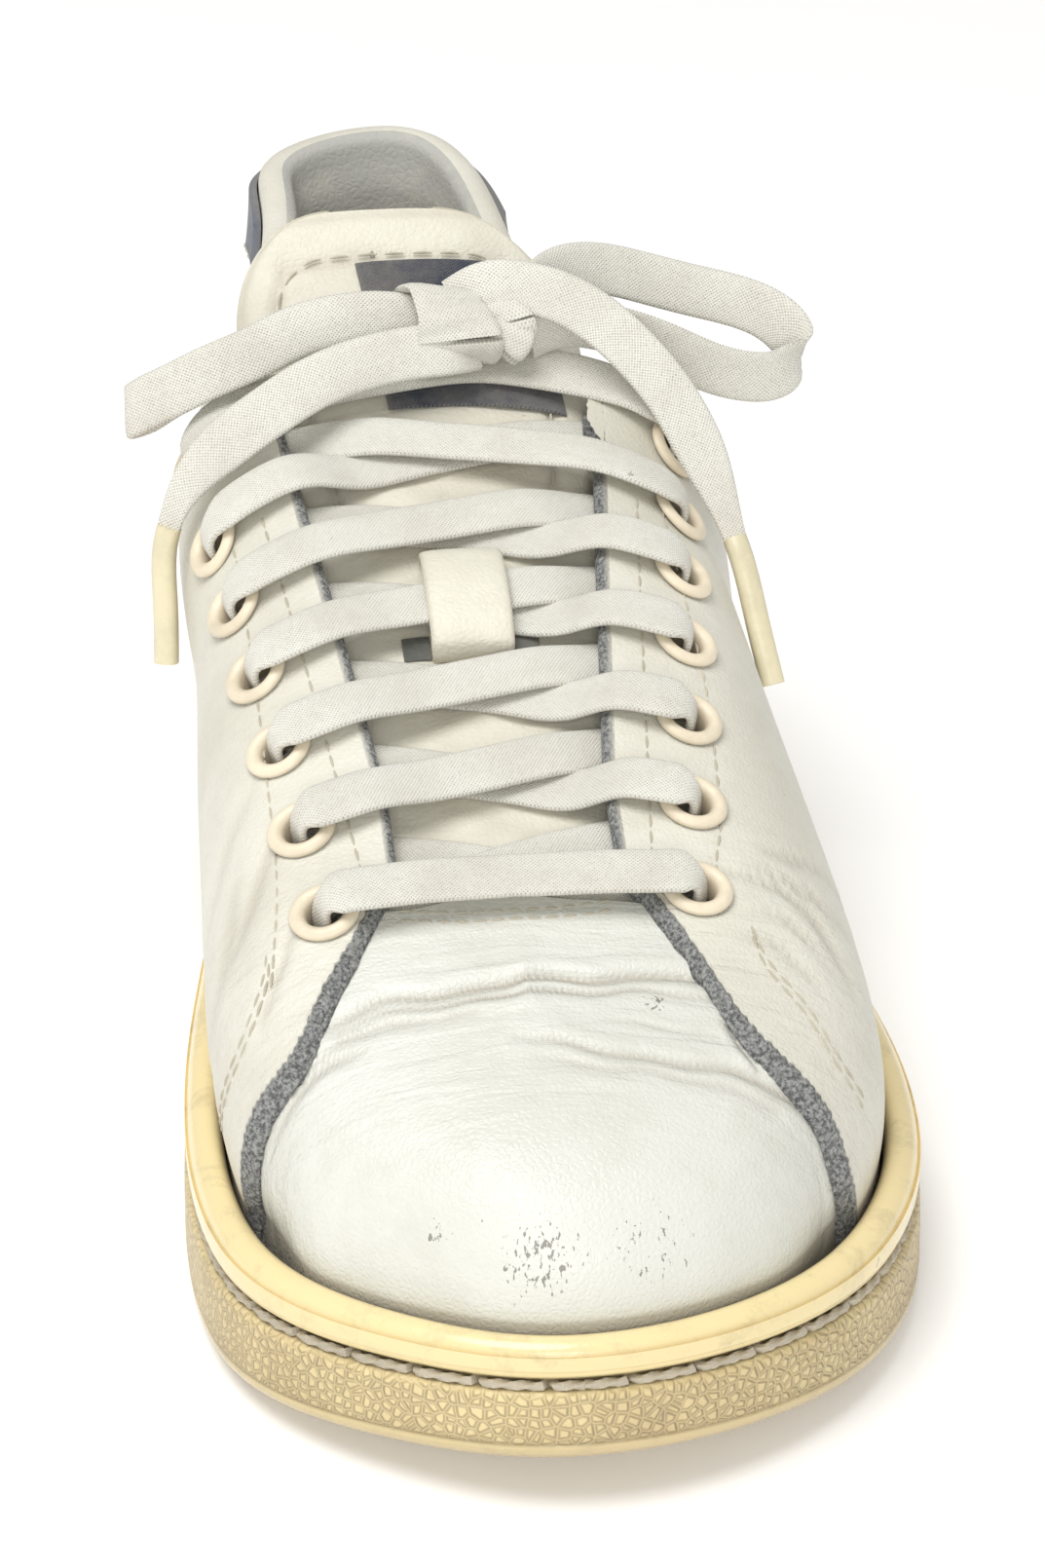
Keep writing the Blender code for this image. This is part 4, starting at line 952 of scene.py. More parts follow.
# %% [markdown]
# ## Finishes
# White leather that has yellowed and cracked, grey raw suede where it is cut, rubber that has gone
# the colour of butter, cotton laces. The meshes carry masks (crease_shade, raw, edge) as attributes,
# and the finishes read them: painted shade lies in the creases and along the joint with the sole.

# %% leather
FELT_DARK = (0.13, 0.135, 0.135, 1)
FELT_LIGHT = (0.54, 0.54, 0.52, 1)


def leather(name, colour, grain=0.0009, rough=0.42, dirt=0.5, patch=(0.47, 0.43, 0.34), much=0.30,
            scuffs=()):
    """Leather with painted shade in its creases and along its joint with the sole, grey where raw."""
    made, tree, shader, place = finish_of(name, rough, colour)
    fine = put(tree, GRAIN, Place=place, Cell_Size=grain)
    crease_shade, edge, raw = (value_of(tree, key) for key in ("crease_shade", "edge", "raw"))
    tone = stained(
        tree, (*colour, 1),
        (np.multiply(colour, (0.90, 0.90, 0.88)), ramp(tree, fine["Cloud"], 0.35, 0.75), 0.8),
        (patch, mask_of(tree, DIRT, place, Scale=34.0, Cover=dirt), much),
        # painted shade along the leather's joint with the sole, through the edge value
        ((0.30, 0.25, 0.17), edge, 0.50),
        # painted shade in the middles of the creases
        ((0.34, 0.28, 0.19), crease_shade, 0.60),
        ((0.16, 0.15, 0.13), mask_of(tree, SPECKS, place, Size=0.0042, Share=0.035), 0.70),
        *(((0.17, 0.16, 0.13), mask_of(tree, SCUFF, place, Centre=centre, Radius=radius, Share=share), 0.80)
          for centre, radius, share in scuffs),
    )
    grit = noise(tree, place, 1600.0, 4.0, 0.7)
    felt = mix_colour(tree, ramp(tree, grit, 0.35, 0.66), FELT_DARK, FELT_LIGHT)
    feed(tree, shader.inputs["Base Color"], mix_colour(tree, raw, tone, felt))
    feed(tree, shader.inputs["Roughness"], ramp(tree, raw, 0.0, 1.0, to=(rough, 0.95), curve="LINEAR"))
    grained = bump(tree, shader, fine["Height"], 0.00010)
    wrinkled = bump(tree, shader, put(tree, WRINKLES, Place=place)["Height"], 0.00055, grained)
    folded = bump(tree, shader, math_node(tree, "SUBTRACT", 1.0, crease_shade), 0.0005, wrinkled)
    bump(tree, shader, math_node(tree, "MULTIPLY", grit, raw), 0.0012, folded)
    return made


# %% rubber
def rubber(name, colour):
    """Yellowed rubber: a glossy bead over a pebbled band, darker toward the foot, with painted shade in its
    groove and between its pebbles.
    """
    made, tree, shader, place = finish_of(name, 0.34, colour)
    band, low, groove = (value_of(tree, key) for key in ("pebble", "low", "groove"))
    high = node(tree, "ShaderNodeSeparateXYZ", {"Vector": place}).outputs["Z"]
    wall = node(tree, "ShaderNodeCombineXYZ", {"X": value_of(tree, "run"), "Y": high}).outputs[0]
    cells = node(tree, "ShaderNodeTexVoronoi", {"Vector": wall, "Scale": 620.0, "Randomness": 0.9},
                 feature="DISTANCE_TO_EDGE", voronoi_dimensions="2D")
    pebble = ramp(tree, cells.outputs["Distance"], 0.0, 0.30)
    patches = mask_of(tree, DIRT, place, Scale=46.0, Cover=0.52)
    tone = stained(
        tree, (*colour, 1),
        ((0.86, 0.70, 0.38), ramp(tree, noise(tree, place, 60.0, 4.0), 0.40, 0.70), 0.7),
        ((0.66, 0.52, 0.27), band, 0.40),
        ((0.42, 0.30, 0.15), math_node(tree, "MULTIPLY", patches, band), 0.40),
        ((0.30, 0.24, 0.15), mask_of(tree, DIRT, place, Scale=150.0, Cover=0.34), 0.42),
        # painted shade in the gaps between the pebbles
        ((0.46, 0.34, 0.17),
         math_node(tree, "MULTIPLY", math_node(tree, "SUBTRACT", 1.0, pebble), band), 0.26),
        # darker toward the foot of the wall and under the sole
        ((0.30, 0.22, 0.12), low, 0.62),
        # painted shade in the stitch groove and down the bead's inner lip into the cup
        ((0.13, 0.09, 0.05), groove, 0.80),
        ((0.30, 0.22, 0.12), mask_of(tree, SPECKS, place, Size=0.0050, Share=0.10), 0.50),
    )
    feed(tree, shader.inputs["Base Color"], tone)
    feed(tree, shader.inputs["Roughness"], ramp(tree, band, 0.0, 1.0, to=(0.24, 0.62), curve="LINEAR"))
    pebbled = bump(tree, shader, math_node(tree, "MULTIPLY", pebble, band), 0.00050)
    bump(tree, shader, noise(tree, place, 260.0, 4.0), 0.00012, pebbled)
    shader.inputs["Coat Weight"].default_value = 0.25
    shader.inputs["Coat Roughness"].default_value = 0.16
    return made


# %% woven cotton, plastic and thread
def cotton(name, colour, thread=0.00062, deep=0.00018):
    """A flat braid with painted shade between its threads."""
    made, tree, shader, place = finish_of(name, 0.92, colour)
    cloth = put(tree, WEAVE, Along=value_of(tree, "along"), Across=value_of(tree, "across"), Thread=thread)
    gap_shade = math_node(tree, "SUBTRACT", 1.0, ramp(tree, cloth["Height"], 0.55, 0.85))
    tone = stained(
        tree, (*colour, 1),
        # painted shade between the threads of the braid
        ((0.44, 0.42, 0.36), gap_shade, 0.22),
        ((0.50, 0.45, 0.35), mask_of(tree, DIRT, place, Scale=60.0, Cover=0.45), 0.34),
        ((0.45, 0.43, 0.38), value_of(tree, "edge"), 0.35),
        ((0.12, 0.11, 0.10), mask_of(tree, SPECKS, place, Size=0.0036, Share=0.05), 0.55),
    )
    feed(tree, shader.inputs["Base Color"], tone)
    shader.inputs["Sheen Weight"].default_value = 0.25
    woven = bump(tree, shader, cloth["Height"], deep)
    bump(tree, shader, noise(tree, place, 2200.0, 3.0), 0.00015, woven)
    return made


def plain(name, colour, rough, depth=0.00006, scale=900.0):
    """Plastic or thread with faint dirt and a fine uneven surface."""
    made, tree, shader, place = finish_of(name, rough, colour)
    tone = stained(
        tree, (*colour, 1),
        (np.multiply(colour, 0.72), mask_of(tree, DIRT, place, Scale=90.0, Cover=0.45), 0.6),
        # edge: painted shade in the eyelet bores and under their flanges, and where the sole thread dips into
        # the rubber
        ((0.25, 0.20, 0.14), value_of(tree, "edge"), 0.55),
        ((0.14, 0.12, 0.10), mask_of(tree, SPECKS, place, Size=0.0030, Share=0.03), 0.5),
    )
    feed(tree, shader.inputs["Base Color"], tone)
    bump(tree, shader, noise(tree, place, scale, 4.0), depth)
    return made


# %% the shoe's materials
# Places of the scuffs on the toe, their radius, and how much of it is scratched
TOE_SCUFFS = (
    ((-0.0060, -0.2487, 0.0355), 0.0085, 0.16),
    ((0.0090, -0.2478, 0.0360), 0.0090, 0.10),
    ((-0.0190, -0.2421, 0.0370), 0.0030, 0.14),
    ((0.0150, -0.2095, 0.0520), 0.0032, 0.16),
)
WHITE_LEATHER = leather("white_leather", (0.765, 0.745, 0.650))
TOE_LEATHER = leather("toe_leather", (0.735, 0.738, 0.675), grain=0.0010, rough=0.38, dirt=0.42,
                      scuffs=TOE_SCUFFS)
TONGUE_LEATHER = leather("tongue_leather", (0.775, 0.745, 0.630), grain=0.0011, rough=0.50, dirt=0.55)
NAVY_LEATHER = leather("navy_leather", (0.075, 0.095, 0.150), grain=0.0008, rough=0.50, dirt=0.60)
LINING = leather("collar_lining", (0.680, 0.640, 0.520), grain=0.0013, rough=0.62, dirt=0.66,
                 patch=(0.26, 0.29, 0.33), much=0.5)
# near-black leather for the sheets of painted shade in the keeper's slits
SLIT_SHADE = leather("slit_shade_leather", (0.110, 0.115, 0.105), grain=0.0008, rough=0.80)
RUBBER = rubber("yellowed_rubber", (0.840, 0.700, 0.375))
LACE = cotton("lace_cotton", (0.800, 0.780, 0.700))
SOCK = cotton("insole_cloth", (0.600, 0.560, 0.460), thread=0.0014)
LABEL = cotton("label_woven", (0.030, 0.038, 0.065), thread=0.0007)
RING = plain("eyelet_plastic", (0.840, 0.740, 0.560), 0.38)
TIP = plain("aglet_plastic", (0.760, 0.690, 0.480), 0.30)
THREAD = plain("cotton_thread", (0.560, 0.520, 0.410), 0.85, scale=3000.0, depth=0.0002)
SOLE_THREAD = plain("sole_thread", (0.560, 0.500, 0.390), 0.85, scale=3000.0, depth=0.0002)
print("finishes:", len(bpy.data.materials))

# %% [markdown]
# ## Laces
# Flat braid, 8.3 mm wide. Each strip rises through its own eyelet, lies down toward the middle,
# crosses the tongue and runs on under the leather into the next eyelet. A ribbon is swept along a
# smooth line with a face direction at every point, and it narrows where it squeezes through a hole.

# %% sweeping a ribbon
LACE_DEPTH = 0.0013
HOLE_WIDTH = 0.0046
UNSEEN_WIDTH = 0.0074
RIBBON_SIDES = 14


def ribbon(name, middle, up, finish, width=LACE_WIDTH, depth=LACE_DEPTH, squash=0.36, wave=0.0,
           slot="lace_cotton", replaced=()):
    """A flat band along its middle points; up is the direction its face looks to."""
    middle = np.asarray(middle, float)
    width = np.broadcast_to(width, len(middle))[:, None]
    along = unit(np.gradient(middle, axis=0))
    wide = unit(np.cross(along, up))
    thick = unit(np.cross(wide, along))
    run = along_line(middle)
    turn = np.linspace(0, 2 * math.pi, RIBBON_SIDES, endpoint=False)
    a = np.sign(np.cos(turn)) * np.abs(np.cos(turn)) ** squash / 2
    b = np.sign(np.sin(turn)) * np.abs(np.sin(turn)) ** 0.75 / 2
    ripple = wave * np.sin(run / 0.0045)[:, None] * np.abs(2 * a) ** 2
    points = (middle[:, None] + wide[:, None] * (a * width)[..., None]
              + thick[:, None] * (b * depth + ripple)[..., None])
    values = {
        "along": np.repeat(run, RIBBON_SIDES),
        "across": (a * width).ravel(),
        "edge": np.tile(np.clip((np.abs(2 * a) - 0.9) / 0.1, 0, 1) * 0.7, len(middle)),
    }
    return add_piece(name, *tube(points), [finish], values, slot=slot, replaced=replaced)


# %% routes through the eyelets
HOLE_IN = ((-0.010, -1.030, -0.0030), (0.000, -1.020, 0.0020), (0.020, -0.970, 0.0054))
HOLE_OUT = ((0.970, 0.980, -0.0026), (1.000, 1.020, 0.0000))
LACE_STEPS = 96
MIDDLE_SPAN = (0.004, 0.018)


def over_throat(rows, aways, lifts):
    """Points at rows, signed distances from the middle line, and heights over the last.

    Under the quarters and in the middle they follow the tongue, which leaves the last at its bend.
    """
    share = row_share(np.asarray(rows, float))
    under = 1 - ease(lifts, -0.0010, 0.0040) * ease(np.abs(aways), *MIDDLE_SPAN)
    free = np.maximum(BEND_SHARE - share, 0.0) * under
    v, s = place_at(share + free, aways)
    return skin(v, s, np.asarray(lifts, float)) + tongue_shift(free * LENGTH / TONGUE_REACH)


def tongue_shift(free):
    """Where the section at the bend has moved to, at a share of the free part of the tongue."""
    free = np.asarray(free, float)
    rise = TONGUE_PATH(free)[..., 0]
    return np.stack([0 * free, TONGUE_REACH * free, TONGUE_RISE * rise], axis=-1)


def strand(name, route, row, side, replaced, both=False):
    """One strip through its eyelets, narrow in the holes."""
    last_rows = [(r, -a, h) for r, a, h in HOLE_IN[::-1]] if both else HOLE_OUT
    rows = np.array([*HOLE_IN, *route, *last_rows])
    steps = np.linalg.norm(np.diff(rows * [ROW_PITCH, 0.028, 1.0], axis=0), axis=1)
    at = np.concatenate([[0], np.cumsum(steps)])
    at /= at[-1]
    smooth = smooth_curve(at, rows)(np.linspace(0, 1, LACE_STEPS))
    place = row + smooth[:, 0]
    away = side * smooth[:, 1] * row_away(place)
    middle = over_throat(place, away, smooth[:, 2])
    up = over_throat(place, away, smooth[:, 2] + LACE_DEPTH) - middle
    width = LACE_WIDTH + (HOLE_WIDTH - LACE_WIDTH) * ease(np.abs(smooth[:, 1]), 0.90, 1.0)
    return ribbon(name, middle, up, LACE, width, replaced=replaced, wave=0.00012)


# %% lay the rows
strand("strip_bar", BAR_ROUTE, 1, 1.0, ["lace_bar"], both=True)
for row in range(2, ROWS):
    over = 1.0 if row < ROWS - 1 else -1.0
    strand(f"strip_over_{row}", CROSS_OVER, row, over, [f"lace_cross_{row}"])
    strand(f"strip_under_{row}", CROSS_UNDER, row, -over, [f"lace_cross_{row}"])
for label, side, sunk in (("inner", -1.0, 0.0007), ("outer", 1.0, 0.0)):
    forward, share, lift = smoothed(UNSEEN_ROUTE, 40).T
    away = side * share * row_away(1 + forward)
    low, high = (over_throat(1 + forward, away, lift - sunk + more) for more in (0.0, LACE_DEPTH))
    ribbon(f"strip_unseen_{label}", low, high - low, LACE, width=UNSEEN_WIDTH)
print("laced", ROWS, "rows")

# %% [markdown]
# ## Bow
# The strip between the top eyelets holds the knot. From it come two loops and two free ends, each a
# ribbon that stands on its edge or lies flat as it does in the photograph. Each is a cord of real
# length; the free ends stop in plastic tips.

# %% riser
def top_ends():
    """The two ends of the riser over the top eyelets, with the axes of the eyelets."""
    ends = []
    for side in (-1.0, 1.0):
        point, axis = frame_at(ROWS, side)
        ends.append((point + axis * STRIP_LIFT - axis * QUARTER_OUT, axis))
    return ends


def swept(points, hints, count=90):
    """A smooth line through points, with a smooth direction through the hints."""
    points, hints = np.asarray(points, float), np.asarray(hints, float)
    at = along_line(points)
    at /= at[-1]
    where = np.linspace(0, 1, count)
    return smooth_curve(at, points)(where), unit(smooth_curve(at, hints)(where))


def riser():
    """The strip under the knot, out of one top eyelet and into the other."""
    (start, first), (end, second) = top_ends()
    rows = np.array(RISER_ROUTE)
    middle = start + (end - start) * rows[:, :1]
    middle[:, 1:] += rows[:, 1:]
    lean = unit(np.array([0.0, RISER_LEAN, 1.0]))
    points, hints = [], []
    for place, axis, toward in ((start, first, middle[1] - start), (end, second, middle[-2] - end)):
        flat = unit(toward - axis * (toward @ axis))
        steps = ((-0.0085, -0.0005), (-0.0035, -0.0003), (-0.0004, 0.0016))
        points.append([place + axis * a + flat * b for a, b in steps])
        hints.append([axis] * len(steps))
    blend = 1 - np.abs(rows[1:-1, :1] * 2 - 1)
    ups = [unit(lean * b + (first if r < 0.5 else second) * (1 - b))
           for b, r in zip(ease(blend, 0.05, 0.5)[:, 0], rows[1:-1, 0])]
    line, up = swept([*points[0], *middle[1:-1], *points[1][::-1]], [*hints[0], *ups, *hints[1][::-1]])
    near = np.minimum(np.linalg.norm(line - start, axis=1), np.linalg.norm(line - end, axis=1))
    width = HOLE_WIDTH + (LACE_WIDTH - HOLE_WIDTH) * ease(near, 0.0015, 0.0085)
    return ribbon("strip_riser", line, up, LACE, width, replaced=["lace_riser"])


riser()

# %% loops and ends
def bow_origin():
    """The middle between the two top eyelets, from which the bow is measured."""
    (start, _), (end, _) = top_ends()
    return (start + end) / 2


TO_CAMERA = unit(np.array([-0.10, -0.90, 0.42]))
UPRIGHT = (0.0, 0.46, 0.88)
PINCHED = 0.0036
TIP_WIDTH = 0.0038
TIP_DEPTH = 0.0034


def bow_line(route):
    return bow_origin() + np.array(route) * [1, -1, 1]


def loop(name, route, edges):
    """A loop of lace; edges are directions of its width, spread along it."""
    points = bow_line(route)
    line, wide = swept(points, smoothed(edges, len(points)), 130)
    up = np.cross(wide, np.gradient(line, axis=0))
    made = ribbon(name.replace("lace", "bow"), line, up, LACE, replaced=[name], wave=0.00025)
    return made


def free_end(name, tip_name, route, tip_route, faces):
    """A free end with its plastic tip."""
    points = bow_line(route)
    line, up = swept(points, smoothed(faces, len(points)), 110)
    left = along_line(line)[-1] - along_line(line)
    width = PINCHED + (LACE_WIDTH - PINCHED) * ease(left, 0.0, 0.020)
    made = ribbon(name.replace("lace", "bow"), line, up, LACE, width, replaced=[name], wave=0.0002)
    tip_line, tip_up = swept([line[-4], *bow_line(tip_route)], [up[-1]] * (len(tip_route) + 1), 40)
    tip = ribbon(tip_name.replace("aglet", "tip"), tip_line, tip_up, TIP, TIP_WIDTH, TIP_DEPTH,
                 squash=0.8, slot="aglet_plastic", replaced=[tip_name])
    print(name, [round(along_line(part)[-1] * 1000) for part in (line, tip_line)], "mm with its tip")
    return made


loop("lace_loop_left", LEFT_LOOP_ROUTE, (UPRIGHT, UPRIGHT, (0.05, 0.40, 0.90), UPRIGHT, UPRIGHT))
loop("lace_loop_right", RIGHT_LOOP_ROUTE,
     (UPRIGHT, UPRIGHT, (0.2, 0.3, 0.93), (0.1, 0.0, 1.0), (0, -0.2, 0.98)))
free_end("lace_end_left", "aglet_left", ((0.0070, -0.0060, 0.0150), *LEFT_END_ROUTE), LEFT_AGLET_ROUTE,
         (TO_CAMERA, TO_CAMERA, (-0.25, -0.85, 0.45), (-0.35, -0.90, 0.25)))
free_end("lace_end_right", "aglet_right", ((0.0046, -0.0098, 0.0204), *RIGHT_END_ROUTE), RIGHT_AGLET_ROUTE,
         (TO_CAMERA, (0.1, -0.85, 0.5), (0.25, -0.90, 0.35), (0.1, -0.95, 0.30)))

# %% knot
KNOT_MIDDLE = bow_line([(0.0030, -0.0080, 0.0180)])[0]
KNOT_DEPTH = 0.0015


def knot_band(name, middle, turn, radius, width, tilt, lean, start, end):
    """A band wrapped round the laces; tilt turns it in the picture, turn swings it round upright."""
    angle = np.linspace(start, end, 72)
    core = unit(np.array([math.cos(tilt) * math.cos(turn), math.sin(turn), math.sin(tilt)]))
    front = unit(np.cross(core, (0, 0, 1)))
    top = np.cross(core, front)
    swell = radius * (1 + 0.07 * np.sin(3 * angle + lean) + 0.04 * np.sin(7 * angle))
    out = front[None] * np.cos(angle)[:, None] + top[None] * np.sin(angle)[:, None] * 0.92
    line = np.asarray(middle) + out * swell[:, None] + core * (0.0016 * np.sin(angle + lean))[:, None]
    widths = width * (1 + 0.10 * np.sin(2 * angle + lean))
    return ribbon(name, line, unit(out), LACE, widths, KNOT_DEPTH, replaced=["lace_knot"], wave=0.0003)


# Each band: its place from the knot's middle, turn, radius, width, tilt, lean, first and last angle
for name, shift, *shape in (
    ("knot_wrap", (0, 0, 0), 0.10, 0.0050, 0.0130, -0.25, 0.4, 0.2, 2 * math.pi + 0.1),
    ("knot_twist", (0.0088, 0.0002, -0.0014), -0.25, 0.0036, 0.0066, -0.62, 1.7, 0.4, 6.5),
    ("knot_core", (0.0040, 0.0004, 0.0), 0.05, 0.0030, 0.0150, -0.12, 0.9, 0.0, 6.28),
):
    knot_band(name, KNOT_MIDDLE + shift, *shape)
print("knot at", [round(float(c), 4) for c in KNOT_MIDDLE])

# %% [markdown]
# ## Sole
# One moulded cup. The wall is a profile carried round the outline: a pebbled band, a groove for the
# stitches and a rolled bead against the leather. Its rows follow the height of the rim, so the
# bead keeps its size while the band grows toward the heel.

# %% profile of the wall
BAND = BAND_SHARE
WALL = (
    # outward, share of the rim's height, metres up, pebbles, darker low down, painted shade in the groove and
    # on the bead's inner lip
    (-0.0030, 0.0, 0.0, 0.0, 1.0, 0.0),
    (-0.0018, 0.0, 0.0002, 0.0, 1.0, 0.0),
    (-0.0009, 0.0, 0.0007, 0.0, 1.0, 0.0),
    (-0.0003, 0.0, 0.0014, 0.0, 0.8, 0.0),
    (-0.0001, 0.0, 0.0024, 0.0, 0.6, 0.0),
    (-0.0003, 0.0, 0.0028, 0.3, 0.5, 0.4),
    (0.0000, 0.0, 0.0033, 1.0, 0.4, 0.0),
    (0.0000, 0.35 * BAND, 0.0, 1.0, 0.15, 0.0),
    (0.0000, 0.60 * BAND, 0.0, 1.0, 0.0, 0.0),
    (-0.0001, 0.85 * BAND, -0.0004, 1.0, 0.0, 0.0),
    (-0.0002, BAND, -0.0012, 0.9, 0.0, 0.0),
    (-0.0006, BAND, -0.0006, 0.5, 0.0, 0.1),
    (-0.0011, BAND, -0.0003, 0.2, 0.0, 0.4),
    (-0.0018, BAND, -0.0001, 0.0, 0.0, 1.0),
    (-0.0022, BAND, 0.0003, 0.0, 0.0, 1.0),
    (-0.0022, BAND, 0.0009, 0.0, 0.0, 1.0),
    (-0.0018, BAND, 0.0014, 0.0, 0.0, 0.8),
    (-0.0013, BAND, 0.0018, 0.0, 0.0, 0.2),
    (-0.0008, BAND, 0.0023, 0.0, 0.0, 0.0),
    (-0.0005, BAND, 0.0030, 0.0, 0.0, 0.0),
    (-0.0003, 0.55 * BAND + 0.45, 0.0, 0.0, 0.0, 0.0),
    (-0.0003, 0.30 * BAND + 0.70, 0.0, 0.0, 0.0, 0.0),
    (-0.0005, 1.0, -0.0032, 0.0, 0.0, 0.0),
    (-0.0009, 1.0, -0.0021, 0.0, 0.0, 0.0),
    (-0.0015, 1.0, -0.0012, 0.0, 0.0, 0.0),
    (-0.0023, 1.0, -0.0006, 0.0, 0.0, 0.0),
    (-0.0032, 1.0, -0.0003, 0.0, 0.0, 0.0),
    (-0.0041, 1.0, -0.0004, 0.0, 0.0, 0.0),
    (-0.0049, 1.0, -0.0008, 0.0, 0.0, 0.25),
    (-0.0055, 1.0, -0.0016, 0.0, 0.0, 0.75),
    (-0.0058, 1.0, -0.0028, 0.0, 0.0, 1.0),
)
SOLE_PLACES = 560
SOLE_ROWS_BELOW = 12


def sole_ring(out, part, extra, v):
    plan, _ = outline(v, out)
    here = np.clip(plan[:, 1] / LENGTH, 0, 1)
    return np.column_stack([plan, ground(here) + part * RIM(here)[:, 0] + extra])


# %% build the sole
def tread_depth(share, side):
    """How deep the tread's bars are cut, across the middle of the sole."""
    depth = np.zeros(share.shape)
    for low, high in TREAD_ZONES:
        for k in range(int((high - low) * LENGTH / TREAD_PITCH) + 1):
            middle = low + k * TREAD_PITCH / LENGTH
            depth = np.maximum(depth, np.abs(share - middle) * LENGTH < TREAD_WIDTH / 2)
    return TREAD_DEPTH * depth * (side > 0.14) * (side < 0.86)


def make_sole():
    half = SOLE_PLACES // 2
    v = np.concatenate([np.linspace(0, 1, half + 1), np.linspace(-1, 0, half + 1)[1:-1]])
    count = len(v)
    rows = smoothed(WALL, 2 * len(WALL) - 1)
    rings = [world(sole_ring(r[0], r[1], r[2], v)) for r in rows]
    floor = sole_ring(-RIM_WALL, 0, 0, v)
    floor[:, 2] = floor_height(np.clip(floor[:, 1] / LENGTH, 0, 1))
    rings.append(world(floor))
    # the cup floor takes the groove's painted shade in full
    masks = np.vstack([np.clip(rows[:, 3:6], 0, 1), [0, 0, 1.0]])
    verts = np.array(rings)
    levels = len(rings)
    faces = []
    for here in range(0, (levels - 1) * count, count):
        faces += [(here + c, here + (c + 1) % count, here + count + (c + 1) % count, here + count + c)
                  for c in range(count)]
    points = [verts.reshape(-1, 3)]
    edge_run = along_line(verts[len(WALL)])
    values = [np.column_stack([np.repeat(masks, count, axis=0), np.tile(edge_run, levels)])]
    number = levels * count
    under = []
    side = np.linspace(0, 1, SOLE_ROWS_BELOW)[1:-1]
    for c in range(1, half):
        a, b = verts[0, c], verts[0, count - c]
        line = a + (b - a) * side[:, None]
        share = np.full(len(side), (HEEL_CENTRE - a[1]) / LENGTH)
        line[:, 2] = ground(share) + tread_depth(share, side)
        points.append(line)
        values.append(np.tile([0.0, 1.0, 0.0, 0.0], (len(side), 1)))
        under.append([c, *range(number, number + len(side)), count - c])
        number += len(side)
    for first, second in zip(under, under[1:]):
        faces += [(first[j], first[j + 1], second[j + 1], second[j]) for j in range(len(first) - 1)]
    faces.append((0, *under[0]))
    faces.append((half, *under[-1][::-1]))
    top = (levels - 1) * count
    faces += [(top + c, top + c + 1, top + count - c - 1, top + count - c) for c in range(1, half - 1)]
    faces.append((top, top + 1, top + count - 1))
    faces.append((top + half - 1, top + half, top + half + 1))
    values = dict(zip(("pebble", "low", "groove", "run"), np.vstack(values).T))
    return add_piece("sole", np.vstack(points), faces, [RUBBER], values, slot="sole_rubber",
                     replaced=["outsole"])


sole = make_sole()
print("sole has", len(sole.data.polygons), "faces")

# %% stitches in the groove
SOLE_STITCH_PITCH = 0.0100
SOLE_THREAD_RADIUS = 0.00062
THREAD_SIDES = 10
THREAD_TWIST = 0.0011


def make_sole_stitches():
    """One twisted thread round the groove, dipping into the rubber between stitches."""
    v = np.linspace(-1, 1, 2400)
    ring = sole_ring(-0.0014, BAND, 0.0005, v)
    inner = sole_ring(-0.0042, BAND, 0.0005, v)
    line, inside = spaced(world(ring), 0.0005, world(inner))
    run = along_line(line)
    dip = np.clip(1 - np.abs((run / SOLE_STITCH_PITCH) % 1 - 0.5) / 0.075, 0, 1) ** 0.8
    line = line + (inside - line) * dip[:, None]
    along = unit(np.gradient(line, axis=0))
    side = unit(np.cross(along, (0, 0, 1)))
    up = np.cross(side, along)
    turn = np.linspace(0, 2 * math.pi, THREAD_SIDES, endpoint=False)
    twist = 2 * math.pi * run[:, None] / (3 * THREAD_TWIST)
    radius = SOLE_THREAD_RADIUS * (1 + 0.24 * np.cos(3 * turn - twist))
    # the edge value paints shade where the thread dips into the rubber
    return add_piece("sole_stitches", *tube(rings_round(line, side, up, radius, THREAD_SIDES)), [SOLE_THREAD],
                     {"edge": np.repeat(dip, THREAD_SIDES)}, slot="sole_rubber", replaced=["outsole"])


make_sole_stitches()

# %% [markdown]
# ## Upper
# The vamp runs in under the quarters, whose cut front edges slant down to it as bands of grey
# suede. The creases were folded in by walking: each is a line placed on the toe, in millimetres
# across and from the heel, with a width and a depth.

# %% creases
CREASES = (
    # lines of (x, distance from the heel) in mm, then width and depth in mm
    (((-31, 247.6), (-24, 245.4), (-15, 245.9), (-8, 245.6), (0, 244.8), (8, 244.9), (15, 244.0),
      (20, 243.6), (25, 245.5)), 1.5, 0.80),
    (((-30, 248.4), (-22, 248.0), (-15, 248.3), (-7, 248.1), (0, 248.0), (8, 247.7), (15, 247.0),
      (24, 247.9)), 1.1, 0.55),
    (((-35, 253.6), (-30, 250.8), (-25, 250.4), (-18, 250.6), (-11, 250.8)), 1.2, 0.40),
    (((-39, 256.0), (-35, 254.8), (-30, 253.6), (-27, 253.4)), 1.3, 0.45),
    (((-5, 256.7), (2, 258.7), (9, 260.6), (15, 261.2), (23, 261.0), (29, 261.2), (35, 262.6),
      (38, 263.5)), 1.4, 0.50),
    (((-3, 261.1), (5, 263.0), (15, 264.0), (22, 264.4), (30, 264.8)), 1.2, 0.28),
    (((25, 251.5), (27, 256.3), (28.5, 260.0)), 0.9, 0.35),
    (((8, 253.0), (16, 254.4), (24, 255.0)), 0.8, 0.18),
)
